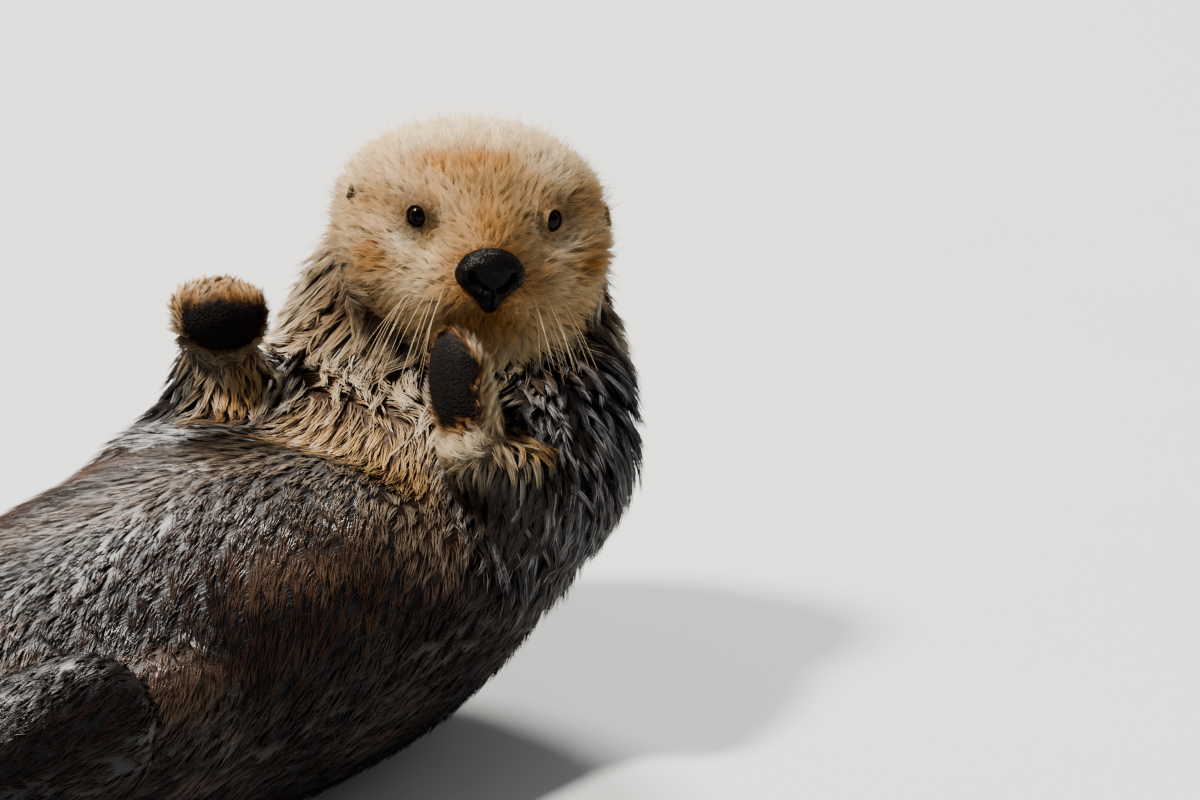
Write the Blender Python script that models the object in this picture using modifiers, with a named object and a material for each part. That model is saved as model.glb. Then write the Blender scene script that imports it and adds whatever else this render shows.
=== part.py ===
"""A life-size sea otter floating on its back: head raised, both forepaws up, hind flippers lifted.

Metres, +Z up. The otter lies along Y with its tail towards -Y and its belly up, and rests on the flats
of its back and tail at z = 0. Left and right are the otter's own: its left side is +X.
The body is one fused mass that thin cuts part into head, neck, trunk, tail, upper arms and hind legs.
"""

import math
from collections import namedtuple

import bmesh
import bpy
from mathutils import Matrix, Vector

# ---------------------------------------------------------------- driving sizes
GAP = 0.0004  # clearance between neighbouring solids
BODY_VOXEL = 0.0055
FINE_VOXEL = 0.0028

HEAD_SEAT = Vector((0.055, 0.3345, 0.3245))  # midpoint between the eyes
HEAD_YAW, HEAD_PITCH, HEAD_ROLL = math.radians(48), math.radians(-13), math.radians(5)
EYE_RADIUS = 0.0080
EYE_SPREAD = 0.0435  # from the head's middle plane to an eye
EYE_DEPTH = 0.0052  # how far the eye's centre lies under the coat

Station = namedtuple("Station", "x y z half_width belly back")
# The trunk's outline from tail tip to crown: centre of each section, half its width, and the height of
# the belly and the depth of the back from that centre. Where it rests, the back dips about 5 mm below
# z = 0, and is planed flat there.
SPINE = (
    Station(0.012, -0.742, 0.016, 0.012, 0.008, 0.020),
    Station(0.010, -0.700, 0.019, 0.025, 0.013, 0.024),
    Station(0.006, -0.600, 0.025, 0.035, 0.019, 0.030),
    Station(0.002, -0.500, 0.037, 0.050, 0.032, 0.042),
    Station(0.000, -0.440, 0.056, 0.084, 0.054, 0.060),
    Station(0.000, -0.370, 0.075, 0.122, 0.074, 0.080),
    Station(0.000, -0.270, 0.088, 0.141, 0.086, 0.093),
    Station(0.000, -0.140, 0.092, 0.150, 0.092, 0.097),
    Station(0.000, -0.010, 0.095, 0.153, 0.097, 0.100),
    Station(0.000, 0.110, 0.100, 0.157, 0.105, 0.105),
    Station(0.000, 0.185, 0.103, 0.156, 0.099, 0.106),
    Station(0.000, 0.232, 0.112, 0.154, 0.088, 0.106),
    Station(0.000, 0.262, 0.120, 0.150, 0.068, 0.104),
    Station(0.001, 0.295, 0.136, 0.146, 0.070, 0.102),
    Station(0.003, 0.335, 0.164, 0.140, 0.078, 0.098),
    Station(0.004, 0.368, 0.207, 0.134, 0.080, 0.090),
    Station(0.008, 0.380, 0.256, 0.114, 0.078, 0.077),
    Station(0.018, 0.376, 0.292, 0.084, 0.066, 0.066),
)

Paw = namedtuple("Paw", "wrist tip palm width thickness")  # palm is the way the palm faces
Arm = namedtuple("Arm", "shoulder elbow girth paw")  # girth is the shoulder's radius
ARMS = {
    "right": Arm(
        Vector((-0.088, 0.305, 0.152)),
        Vector((-0.098, 0.245, 0.170)),
        0.058,
        Paw(
            wrist=Vector((-0.098, 0.262, 0.222)),
            tip=Vector((-0.073, 0.230, 0.278)),
            palm=Vector((0.50, -0.65, -0.57)),
            width=0.066,
            thickness=0.044,
        ),
    ),
    "left": Arm(
        Vector((0.104, 0.335, 0.182)),
        Vector((0.146, 0.290, 0.166)),
        0.066,
        Paw(
            wrist=Vector((0.118, 0.250, 0.203)),
            tip=Vector((0.090, 0.260, 0.276)),
            palm=Vector((-0.62, -0.78, 0.10)),
            width=0.060,
            thickness=0.040,
        ),
    ),
}

Leg = namedtuple("Leg", "hip knee ankle tip sole")  # sole is the way the sole faces
LEGS = {
    "left": Leg(
        Vector((0.088, -0.280, 0.098)),
        Vector((0.152, -0.150, 0.165)),
        Vector((0.130, -0.345, 0.140)),
        Vector((0.178, -0.500, 0.245)),
        Vector((0.05, -0.60, -0.80)),
    ),
    "right": Leg(
        Vector((-0.088, -0.280, 0.098)),
        Vector((-0.146, -0.175, 0.154)),
        Vector((-0.128, -0.350, 0.132)),
        Vector((-0.184, -0.512, 0.220)),
        Vector((-0.10, -0.55, -0.83)),
    ),
}
TOE_SPREAD = math.radians(10)  # between neighbouring toes
TOE_LENGTHS = (0.122, 0.146, 0.166, 0.180, 0.190)  # inner to outer: the outer toe is the longest

# Triangles left in each fused mass.
HEAD_TRIANGLES, TRUNK_TRIANGLES = 1500, 1600
EAR_SEATS = {1: (0.0815, 0.0275, -0.0025), -1: (-0.0775, 0.0275, 0.0080)}  # on the head, left and right
FORELEG_TRIANGLES, FLIPPER_TRIANGLES, NOSE_TRIANGLES, EAR_TRIANGLES = 360, 380, 170, 110

COLOURS = {
    "face": ((0.66, 0.50, 0.33), 0.75),
    "ruff": ((0.42, 0.33, 0.23), 0.60),
    "pelt": ((0.070, 0.050, 0.038), 0.45),
    "paw": ((0.50, 0.37, 0.23), 0.70),
    "flipper": ((0.055, 0.042, 0.036), 0.50),
    "nose": ((0.012, 0.010, 0.011), 0.40),
    "eye": ((0.020, 0.012, 0.008), 0.05),
    "ear": ((0.26, 0.19, 0.13), 0.70),
}


# ---------------------------------------------------------------- scene and materials
def clear_scene():
    for old in list(bpy.data.objects):
        bpy.data.objects.remove(old)


def new_collection(name):
    made = bpy.data.collections.new(name)
    bpy.context.scene.collection.children.link(made)
    return made


def material(kind):
    if kind in bpy.data.materials:
        return bpy.data.materials[kind]
    colour, roughness = COLOURS[kind]
    made = bpy.data.materials.new(kind)
    made.use_nodes = True
    shader = made.node_tree.nodes["Principled BSDF"]
    shader.inputs["Base Color"].default_value = (*colour, 1)
    shader.inputs["Roughness"].default_value = roughness
    shader.inputs["Metallic"].default_value = 0
    return made


def put(mesh, name, collection):
    made = bpy.data.objects.new(name, mesh)
    collection.objects.link(made)
    return made


def mesh_from(work):
    mesh = bpy.data.meshes.new("mass")
    work.to_mesh(mesh)
    work.free()
    return mesh


def evaluated_mesh(obj):
    bpy.context.view_layer.update()
    graph = bpy.context.evaluated_depsgraph_get()
    return bpy.data.meshes.new_from_object(obj.evaluated_get(graph))


# ---------------------------------------------------------------- frames
def axes_frame(origin, along, normal):
    """A frame at origin with +Y along, and +Z as near to normal as a right angle allows."""
    y = along.normalized()
    x = y.cross(normal).normalized()
    return Matrix.Translation(origin) @ Matrix((x, y, x.cross(y))).transposed().to_4x4()


def head_frame():
    """The head's frame: +X its left, -Y the way it faces, +Z its crown, origin midway between the eyes."""
    yaw = Matrix.Rotation(HEAD_YAW, 4, "Z")
    pitch = Matrix.Rotation(HEAD_PITCH, 4, "X")
    roll = Matrix.Rotation(HEAD_ROLL, 4, "Y")
    return Matrix.Translation(HEAD_SEAT) @ yaw @ pitch @ roll


# ---------------------------------------------------------------- masses that are fused together
def ellipsoid(work, centre, radii, frame=Matrix.Identity(4), segments=28):
    shape = frame @ Matrix.Translation(centre) @ Matrix.Diagonal((*radii, 1))
    rows = segments // 2 + 2
    bmesh.ops.create_uvsphere(work, u_segments=segments, v_segments=rows, radius=1, matrix=shape)


def limb(work, ends, radii, frame=Matrix.Identity(4)):
    """Round tapered lengths from one joint to the next, with a ball at each joint."""
    for joint, radius in zip(ends, radii):
        ellipsoid(work, joint, (radius,) * 3, frame, 20)
    for start, end, first, last in zip(ends, ends[1:], radii, radii[1:]):
        run = end - start
        lie = run.to_track_quat("Z", "Y").to_matrix().to_4x4()
        place = frame @ Matrix.Translation((start + end) / 2) @ lie
        bmesh.ops.create_cone(
            work, cap_ends=True, segments=20, radius1=first, radius2=last, depth=run.length, matrix=place
        )


def catmull_rom(before, start, end, after, t):
    return (
        start * 2 + (end - before) * t
        + (before * 2 - start * 5 + end * 4 - after) * t**2
        + (start * 3 - before - end * 3 + after) * t**3
    ) / 2


def smooth_stations(stations, steps):
    """The stations with steps sections from each to the next, on a smooth curve through all of them."""
    rows = [stations[0], *stations, stations[-1]]
    found = []
    for four in zip(rows, rows[1:], rows[2:], rows[3:]):
        for k in range(steps):
            found.append(Station(*(catmull_rom(*values, k / steps) for values in zip(*four))))
    return [*found, stations[-1]]


def trunk_loft(work, around=40, steps=5):
    """A skin over unlike oval sections, set square to the spine."""
    sections = smooth_stations(SPINE, steps)
    centres = [Vector(s[:3]) for s in sections]
    rings = []
    for i, s in enumerate(sections):
        ahead = (centres[min(i + 1, len(centres) - 1)] - centres[max(i - 1, 0)]).normalized()
        side = (Vector((1, 0, 0)) - ahead * ahead.x).normalized()
        up = side.cross(ahead)
        ring = []
        for k in range(around):
            angle = 2 * math.pi * k / around
            height = s.belly if math.sin(angle) > 0 else s.back
            offset = side * (s.half_width * math.cos(angle)) + up * (height * math.sin(angle))
            ring.append(work.verts.new(centres[i] + offset))
        rings.append(ring)
    for low, high in zip(rings, rings[1:]):
        for k in range(around):
            after = (k + 1) % around
            work.faces.new((low[k], low[after], high[after], high[k]))
    work.faces.new(list(reversed(rings[0])))
    work.faces.new(rings[-1])


def head_masses(work):
    """The head in its own frame. Each mass is a centre and three radii; x is doubled for pairs."""
    frame = head_frame()
    singles = (
        ((0, 0.052, -0.002), (0.090, 0.070, 0.061)),  # cranium
        ((0, 0.012, 0.002), (0.064, 0.036, 0.040)),  # forehead
        ((0, -0.004, -0.014), (0.034, 0.038, 0.027)),  # bridge of the nose
        ((0, -0.003, -0.040), (0.053, 0.040, 0.038)),  # muzzle
        ((0, 0.008, -0.066), (0.052, 0.038, 0.027)),  # chin
        ((0, 0.045, -0.052), (0.080, 0.060, 0.046)),  # throat
        ((0, 0.018, -0.034), (0.074, 0.045, 0.046)),  # the face's broad disc
    )
    pairs = (
        ((0.046, 0.032, -0.034), (0.049, 0.046, 0.046)),  # cheeks
        ((0.021, -0.016, -0.050), (0.028, 0.028, 0.025)),  # whisker pads
        ((0.043, 0.022, 0.008), (0.032, 0.026, 0.024)),  # brows
    )
    for centre, radii in singles:
        ellipsoid(work, centre, radii, frame)
    for (x, y, z), radii in pairs:
        for side in (1, -1):
            ellipsoid(work, (side * x, y, z), radii, frame)


def shoulder_masses(work):
    for arm in ARMS.values():
        limb(work, (arm.shoulder, arm.elbow), (arm.girth, 0.042))
    ellipsoid(work, (0.080, 0.350, 0.205), (0.078, 0.050, 0.055))  # the raised left shoulder's slope


def chest_fold(work):
    """The loose skin under the right arm, which crosses the chest as a soft ridge."""
    limb(
        work,
        (Vector((-0.098, 0.252, 0.178)), Vector((-0.055, 0.270, 0.180)), Vector((0.008, 0.280, 0.182))),
        (0.028, 0.021, 0.017),
    )


def flank_fold(work):
    """The skin fold from the right elbow down to the flank."""
    limb(
        work,
        (Vector((-0.108, 0.238, 0.164)), Vector((-0.114, 0.165, 0.142)), Vector((-0.120, 0.090, 0.106))),
        (0.036, 0.032, 0.030),
    )


def hind_leg_masses(work):
    for leg in LEGS.values():
        limb(work, (leg.hip, leg.knee), (0.076, 0.050))
        limb(work, (leg.knee, leg.ankle), (0.046, 0.030))
        ellipsoid(work, leg.hip.lerp(leg.knee, 0.5) * 0.92, (0.066, 0.120, 0.062))
        flank = leg.knee + Vector((-0.24 * leg.knee.x, 0.060, -0.040))  # loose skin ahead of the knee
        ellipsoid(work, flank, (0.048, 0.125, 0.050))


# ---------------------------------------------------------------- fusing and cutting
def fused(work, voxel, smoothing, triangles):
    """One closed, smooth mass made from overlapping ones."""
    bmesh.ops.recalc_face_normals(work, faces=work.faces)
    lump = put(mesh_from(work), "lump", bpy.context.scene.collection)
    remesh = lump.modifiers.new("Remesh", "REMESH")
    remesh.mode = "VOXEL"
    remesh.voxel_size = voxel
    smooth = lump.modifiers.new("Smooth", "SMOOTH")
    smooth.iterations = smoothing
    mesh = evaluated_mesh(lump)
    bpy.data.objects.remove(lump)
    return thinned(mesh, triangles) if triangles else mesh


def thinned(mesh, triangles, inside=lambda place: True):
    """The mesh with the region that inside picks, by a test on each point's place, thinned out."""
    skin = put(mesh, "skin", bpy.context.scene.collection)
    chosen = [v.index for v in mesh.vertices if inside(v.co)]
    skin.vertex_groups.clear()
    skin.vertex_groups.new(name="thin out").add(chosen, 1, "REPLACE")
    chosen = set(chosen)
    counts = [(len(p.vertices) - 2, chosen.issuperset(p.vertices)) for p in mesh.polygons]
    kept = sum(n for n, picked in counts if not picked)
    thin = skin.modifiers.new("Decimate", "DECIMATE")
    thin.ratio = (kept + triangles) / sum(n for n, _ in counts)
    thin.use_collapse_triangulate = True
    thin.vertex_group = "thin out"
    thin_mesh = evaluated_mesh(skin)
    bpy.data.objects.remove(skin)
    return thin_mesh


def planed(mesh):
    """The mass with all that would sink under the floor cut away, which leaves flats at z = 0."""
    work = bmesh.new()
    work.from_mesh(mesh)
    everything = [*work.verts, *work.edges, *work.faces]
    floor = {"plane_co": (0, 0, 0), "plane_no": (0, 0, 1)}
    cut = bmesh.ops.bisect_plane(work, geom=everything, clear_inner=True, **floor)
    rim = [e for e in cut["geom_cut"] if isinstance(e, bmesh.types.BMEdge)]
    bmesh.ops.edgenet_fill(work, edges=rim)
    for v in work.verts:
        if abs(v.co.z) < 1e-6:
            v.co.z = 0
    bmesh.ops.triangulate(work, faces=work.faces)
    bmesh.ops.recalc_face_normals(work, faces=work.faces)
    work.to_mesh(mesh)
    work.free()
    return mesh


def grown(obj, margin, cutters):
    """A cutter that stands margin proud of obj all over."""
    cutter = put(obj.data.copy(), obj.name + "_grown", cutters)
    cutter.matrix_world = obj.matrix_world
    work = bmesh.new()
    work.from_mesh(cutter.data)
    work.normal_update()
    moves = [v.normal * margin * v.calc_shell_factor() for v in work.verts]
    for v, move in zip(work.verts, moves):
        v.co += move
    work.to_mesh(cutter.data)
    work.free()
    return as_cutter(cutter)


def as_cutter(obj):
    obj.hide_render = True
    obj.display_type = "WIRE"
    return obj


def cut_by(obj, cutter):
    """Takes cutter from obj at once, so that a later cut starts from a plain mesh."""
    step = obj.modifiers.new("Cut", "BOOLEAN")
    step.operation = "DIFFERENCE"
    step.solver = "EXACT"
    step.object = cutter
    mesh = evaluated_mesh(obj)
    obj.modifiers.clear()
    obj.data = mesh


def slab(centre, normal, radius, cutters):
    """A thin disc that parts whatever it passes right through."""
    work = bmesh.new()
    lie = Vector(normal).to_track_quat("Z", "Y").to_matrix().to_4x4()
    size = {"radius1": radius, "radius2": radius, "depth": GAP}
    shape = Matrix.Translation(centre) @ lie
    bmesh.ops.create_cone(work, cap_ends=True, segments=32, matrix=shape, **size)
    return as_cutter(put(mesh_from(work), "slab", cutters))


def shell(radii, frame, cutters):
    """A thin oval shell that frees what lies inside it."""
    work = bmesh.new()
    ellipsoid(work, (0, 0, 0), radii, frame, 16)
    made = put(mesh_from(work), "shell", cutters)
    wall = made.modifiers.new("Wall", "SOLIDIFY")
    wall.thickness = GAP
    made.data = evaluated_mesh(made)
    made.modifiers.clear()
    return as_cutter(made)


def loose_pieces(obj, collection):
    """Each closed piece of obj as an object of its own."""
    work = bmesh.new()
    work.from_mesh(obj.data)
    waiting = set(work.faces)
    pieces = []
    while waiting:
        reached = [waiting.pop()]
        for face in reached:
            for edge in face.edges:
                for other in edge.link_faces:
                    if other in waiting:
                        waiting.remove(other)
                        reached.append(other)
        pieces.append(reached)
    made = []
    for faces in pieces:
        index = {v: None for face in faces for v in face.verts}
        part = bmesh.new()
        for v in index:
            index[v] = part.verts.new(v.co)
        for face in faces:
            part.faces.new([index[v] for v in face.verts])
        made.append(put(mesh_from(part), "piece", collection))
    work.free()
    bpy.data.objects.remove(obj)
    return made


def middle(obj):
    corners = [v.co for v in obj.data.vertices]
    return sum(corners, Vector()) / len(corners)


def finish(obj, name, kind):
    obj.name = name
    obj.data.name = name
    obj.data.materials.clear()
    obj.data.materials.append(material(kind))
    obj.data.shade_smooth()
    obj.data.set_sharp_from_angle(angle=math.radians(50))
    return obj


# ---------------------------------------------------------------- head fittings
def eye_centre(body, side):
    """A point EYE_DEPTH under the coat, in front of the socket."""
    frame = head_frame()
    start = frame @ Vector((side * EYE_SPREAD * 1.10, -0.10, 0))
    aim = (frame.to_3x3() @ Vector((-side * 0.045, 1, 0))).normalized()
    found, place, normal, _ = body.ray_cast(start, aim)
    assert found, "the ray at the eye misses the head"
    return place - (normal + aim * -0.6).normalized() * EYE_DEPTH


def eye(body, side, parts, cutters):
    name = "eye_left" if side > 0 else "eye_right"
    centre = eye_centre(body, side)
    work = bmesh.new()
    ellipsoid(work, centre, (EYE_RADIUS,) * 3, segments=12)
    ball = finish(put(mesh_from(work), name, parts), name, "eye")
    cut_by(body, grown(ball, GAP, cutters))
    return ball


def nose(body, parts, cutters):
    """The leathery pad: a broad top with a wing over each nostril, narrowing to the lip below."""
    frame = head_frame() @ Matrix.Translation((0, -0.0445, -0.0320))
    work = bmesh.new()
    ellipsoid(work, (0, 0.005, 0.004), (0.0200, 0.0130, 0.0125), frame, 20)
    for side in (1, -1):
        ellipsoid(work, (side * 0.0125, 0.0055, 0.000), (0.0100, 0.0105, 0.0100), frame, 20)
    ellipsoid(work, (0, 0.004, -0.006), (0.0155, 0.0112, 0.0120), frame, 20)
    ellipsoid(work, (0, 0.004, -0.015), (0.0072, 0.0085, 0.0098), frame, 20)
    pad = finish(put(fused(work, 0.0016, 4, NOSE_TRIANGLES), "nose", parts), "nose", "nose")
    cut_by(body, grown(pad, GAP, cutters))
    return pad


def ear(body, side, parts, cutters):
    """A small rolled cup, half hidden in the coat; the left one is held a little lower."""
    name = "ear_left" if side > 0 else "ear_right"
    lean = Matrix.Rotation(side * math.radians(-12), 4, "Y") @ Matrix.Rotation(math.radians(-15), 4, "X")
    frame = head_frame() @ Matrix.Translation(EAR_SEATS[side]) @ lean
    work = bmesh.new()
    ellipsoid(work, (0, 0, 0), (0.0046, 0.0062, 0.0088), frame, 16)
    ellipsoid(work, (side * 0.0007, 0.0015, 0.0055), (0.0037, 0.0051, 0.0062), frame, 16)
    cup = put(fused(work, 0.0011, 3, EAR_TRIANGLES), name, parts)
    cut_by(cup, grown(body, GAP, cutters))
    return finish(largest(cup, parts), name, "ear")


def largest(obj, collection):
    """Keeps only the largest closed piece of obj."""
    pieces = loose_pieces(obj, collection)
    pieces.sort(key=lambda piece: len(piece.data.polygons))
    for scrap in pieces[:-1]:
        bpy.data.objects.remove(scrap)
    return pieces[-1]


# ---------------------------------------------------------------- limbs
def foreleg(side, body, parts, cutters):
    """Forearm and mitten-like forepaw, meeting the body at its skin and parted at the wrist."""
    arm = ARMS[side]
    paw = arm.paw
    frame = axes_frame(paw.wrist, paw.tip - paw.wrist, paw.palm)
    length = (paw.tip - paw.wrist).length
    half_width, half_thick = paw.width / 2, paw.thickness / 2
    work = bmesh.new()
    limb(work, (arm.elbow, paw.wrist), (0.040, 0.027))
    ellipsoid(work, (0, length * 0.54, 0), (half_width, length * 0.52, half_thick), frame)
    for toe in range(5):
        across = (toe - 2) / 2
        reach = length * (0.80 - 0.10 * across**2)
        place = (across * half_width * 0.72, reach, -half_thick * 0.10)
        ellipsoid(work, place, (half_width * 0.26, length * 0.20, half_thick * 0.62), frame, 14)
    heel = (half_width * 0.62, length * 0.24, half_thick * 0.8)
    ellipsoid(work, (0, length * 0.16, half_thick * 0.25), heel, frame)
    whole = put(fused(work, FINE_VOXEL, 5, FORELEG_TRIANGLES), "foreleg", parts)
    cut_by(whole, grown(body, GAP, cutters))
    whole = largest(whole, parts)
    cut_by(whole, slab(paw.wrist.lerp(paw.tip, 0.12), paw.tip - arm.elbow, 0.048, cutters))
    pieces = sorted(loose_pieces(whole, parts), key=lambda piece: (middle(piece) - paw.tip).length)
    finish(pieces[0], f"forepaw_{side}", "paw")
    finish(pieces[1], f"forearm_{side}", "ruff")


def flipper(side, body, parts, cutters):
    """A long webbed hind foot: five toes spread like a fan, the outer one the longest."""
    leg = LEGS[side]
    outward = 1 if side == "left" else -1
    frame = axes_frame(leg.ankle, leg.tip - leg.ankle, leg.sole)
    if (frame.to_3x3() @ Vector((1, 0, 0))).x * outward < 0:
        frame = frame @ Matrix.Diagonal((-1, 1, 1, 1))
    work = bmesh.new()
    ellipsoid(work, (0, 0.014, 0), (0.030, 0.050, 0.020), frame, 20)
    heel = Vector((0, -0.012, 0))
    tips = []
    for toe, length in enumerate(TOE_LENGTHS):
        angle = (toe - 2) * TOE_SPREAD
        aim = Vector((math.sin(angle), math.cos(angle), 0))
        root = Vector(((toe - 2) * 0.010, 0.040, 0))
        tip = root + aim * (length - 0.040)
        knuckle = root.lerp(tip, 0.55) + Vector((0, 0, -0.003))
        limb(work, (heel, root, knuckle, tip), (0.022, 0.013, 0.0080, 0.0060), frame)
        tips.append((root, tip))
    web(work, tips, frame)
    whole = put(fused(work, FINE_VOXEL, 3, FLIPPER_TRIANGLES), "flipper", parts)
    cut_by(whole, grown(body, GAP, cutters))
    finish(largest(whole, parts), f"hind_flipper_{side}", "flipper")


def web(work, toes, frame, thickness=0.0080):
    """Skin stretched from toe to toe, its free edge drawn in between them."""
    low, high = [], []
    for (root, tip), following in zip(toes, [*toes[1:], None]):
        for share in (0, 0.5) if following else (0,):
            inner = root.lerp(following[0], share) if following else root
            outer = tip.lerp(following[1], share) if following else tip
            outer = inner.lerp(outer, 1.02 - 0.10 * share)
            for ring, height in ((low, -thickness / 2), (high, thickness / 2)):
                pair = [work.verts.new(frame @ (p + Vector((0, 0, height)))) for p in (inner, outer)]
                ring.append(pair)
    count = len(low)
    for (a, b), (c, d) in zip(low, low[1:]):
        work.faces.new((a, b, d, c))
    for (a, b), (c, d) in zip(high, high[1:]):
        work.faces.new((c, d, b, a))
    for k in range(count - 1):
        work.faces.new((low[k][0], low[k + 1][0], high[k + 1][0], high[k][0]))
        work.faces.new((low[k + 1][1], low[k][1], high[k][1], high[k + 1][1]))
    for k in (0, count - 1):
        work.faces.new((low[k][0], low[k][1], high[k][1], high[k][0]))


# ---------------------------------------------------------------- the whole otter
def on_head(place):
    """Whether a point belongs to the head, which keeps finer triangles than the rest."""
    return (place - HEAD_SEAT - Vector((-0.020, 0.022, -0.012))).length < 0.115


def body_mass(parts):
    work = bmesh.new()
    trunk_loft(work)
    ellipsoid(work, (0.012, -0.738, 0.012), (0.017, 0.026, 0.014))  # the tail's blunt tip
    head_masses(work)
    shoulder_masses(work)
    chest_fold(work)
    flank_fold(work)
    hind_leg_masses(work)
    mesh = fused(work, BODY_VOXEL, 14, None)
    mesh = thinned(mesh, HEAD_TRIANGLES, on_head)
    mesh = thinned(mesh, TRUNK_TRIANGLES, lambda place: not on_head(place))
    return put(planed(mesh), "body", parts)


def part_off(body, cutter, anchor, parts):
    """Parts body in two with the cutter. Returns the piece nearest to anchor, then the other."""
    cut_by(body, cutter)
    pieces = loose_pieces(body, parts)
    assert len(pieces) == 2, f"the cut near {tuple(anchor)} leaves {len(pieces)} pieces"
    return sorted(pieces, key=lambda piece: (middle(piece) - anchor).length)


def part_body(body, parts, cutters):
    """Cuts the body into its named parts, the limbs first."""
    for side, arm in ARMS.items():
        centre = arm.shoulder.lerp(arm.elbow, 0.62)
        frame = axes_frame(centre, arm.elbow - arm.shoulder, Vector((0, 0, 1)))
        cutter = shell((0.066, 0.082, 0.066), frame, cutters)
        piece, body = part_off(body, cutter, arm.elbow, parts)
        finish(piece, f"upper_arm_{side}", "pelt")
    for side, leg in LEGS.items():
        centre = leg.knee.lerp(leg.ankle, 0.30)
        frame = axes_frame(centre, leg.knee - leg.ankle, Vector((0, 0, 1)))
        cutter = shell((0.076, 0.135, 0.074), frame, cutters)
        piece, body = part_off(body, cutter, leg.knee, parts)
        finish(piece, f"hind_leg_{side}", "pelt")
    tail_cut = slab((0, -0.468, 0.055), (0, 1, -0.10), 0.30, cutters)
    tail, body = part_off(body, tail_cut, Vector((0, -0.61, 0.025)), parts)
    finish(tail, "tail", "pelt")
    head_low = head_frame() @ Vector((0, 0.020, -0.092))
    head_cut = slab(head_low, (-0.04, -0.12, 1.0), 0.30, cutters)
    head, body = part_off(body, head_cut, HEAD_SEAT, parts)
    finish(head, "head", "face")
    neck_cut = slab((0, 0.305, 0.155), (0, 0.86, 0.51), 0.30, cutters)
    neck, trunk = part_off(body, neck_cut, Vector((0.01, 0.36, 0.19)), parts)
    finish(neck, "neck", "ruff")
    finish(trunk, "trunk", "pelt")


def settle_on_origin(parts):
    """Moves everything along the floor so that the origin lies under the middle of the otter's box."""
    corners = [v.co for obj in parts.objects for v in obj.data.vertices]
    spans = [(min(c[k] for c in corners), max(c[k] for c in corners)) for k in (0, 1)]
    shift = Vector((-sum(spans[0]) / 2, -sum(spans[1]) / 2, 0))
    for obj in bpy.data.objects:
        obj.data.transform(Matrix.Translation(shift))


def build():
    clear_scene()
    parts = new_collection("sea_otter")
    cutters = new_collection("cutters")
    cutters.hide_render = True
    body = body_mass(parts)
    for side in ARMS:
        foreleg(side, body, parts, cutters)
    for side in LEGS:
        flipper(side, body, parts, cutters)
    for side in (1, -1):
        ear(body, side, parts, cutters)
    nose(body, parts, cutters)
    for side in (1, -1):
        eye(body, side, parts, cutters)
    part_body(body, parts, cutters)
    settle_on_origin(parts)


build()
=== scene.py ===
"""Looks of the sea otter: one skin over all its flesh, a coat of solid tufts, eyes, nose, ears, claws
and whiskers. Metres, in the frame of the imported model; left and right are the otter's own.
"""

import math
from collections import namedtuple

import bmesh
import bpy
import numpy as np
from mathutils import Matrix, Vector, noise
from mathutils.bvhtree import BVHTree
from mathutils.kdtree import KDTree


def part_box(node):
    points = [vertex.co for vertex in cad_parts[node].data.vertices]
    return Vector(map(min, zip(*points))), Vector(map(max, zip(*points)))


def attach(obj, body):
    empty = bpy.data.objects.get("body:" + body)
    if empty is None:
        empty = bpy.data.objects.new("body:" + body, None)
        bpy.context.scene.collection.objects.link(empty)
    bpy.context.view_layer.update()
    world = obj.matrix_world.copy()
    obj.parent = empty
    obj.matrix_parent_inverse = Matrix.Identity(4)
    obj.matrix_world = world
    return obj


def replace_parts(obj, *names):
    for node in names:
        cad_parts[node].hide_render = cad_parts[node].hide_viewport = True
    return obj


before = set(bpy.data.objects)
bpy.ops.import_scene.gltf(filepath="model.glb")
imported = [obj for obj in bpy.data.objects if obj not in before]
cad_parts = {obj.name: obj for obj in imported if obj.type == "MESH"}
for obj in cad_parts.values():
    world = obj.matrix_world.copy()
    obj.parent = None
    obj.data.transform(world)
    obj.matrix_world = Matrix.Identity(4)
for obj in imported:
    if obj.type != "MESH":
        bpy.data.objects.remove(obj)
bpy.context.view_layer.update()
SHARE = 1.0  # of the tufts, while trying things


# ---------------------------------------------------------------- landmarks
def middle(node):
    """The middle of a node's box."""
    low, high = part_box(node)
    return (low + high) / 2


SIDES = {"left": 1, "right": -1}
EYES = {side: middle(f"eye_{side}") for side in SIDES}
EYE_RADIUS = (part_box("eye_left")[1].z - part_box("eye_left")[0].z) / 2
NOSE_DROP = math.radians(50)  # from the way the face looks down to the nose pad
PALMS = {"right": Vector((0.50, -0.65, -0.57)), "left": Vector((0.18, -0.93, 0.30))}  # the way each faces
PAD_SHIFT = {"right": 0.0150, "left": 0.014}  # how far the pads sit towards the toes
PAD_REACH = {"right": (0.028, 0.0175), "left": (0.024, 0.033)}  # half of each pad's width and length


def head_frame():
    """The head's frame: +X its left, -Y the way it faces, +Z its crown, origin midway between the eyes."""
    origin = (EYES["left"] + EYES["right"]) / 2
    x = (EYES["left"] - EYES["right"]).normalized()
    down = middle("nose") - origin
    down = (down - x * down.dot(x)).normalized()
    back = -(Matrix.Rotation(-NOSE_DROP, 3, x) @ down)
    return Matrix.Translation(origin) @ Matrix((x, back, x.cross(back))).transposed().to_4x4()


HEAD = head_frame()
HEAD_ORIGIN = np.array(HEAD.translation)
HEAD_AXES = np.array(HEAD.to_3x3())  # its columns are the head's axes


def in_head(points):
    """Points given in the head's frame."""
    return (points - HEAD_ORIGIN) @ HEAD_AXES


def from_head(points):
    """And back again."""
    return np.asarray(points) @ HEAD_AXES.T + HEAD_ORIGIN


# ---------------------------------------------------------------- small helpers
def unit(vectors):
    """Vectors of length 1 in the same directions."""
    return vectors / np.maximum(np.linalg.norm(vectors, axis=-1, keepdims=True), 1e-9)


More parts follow.
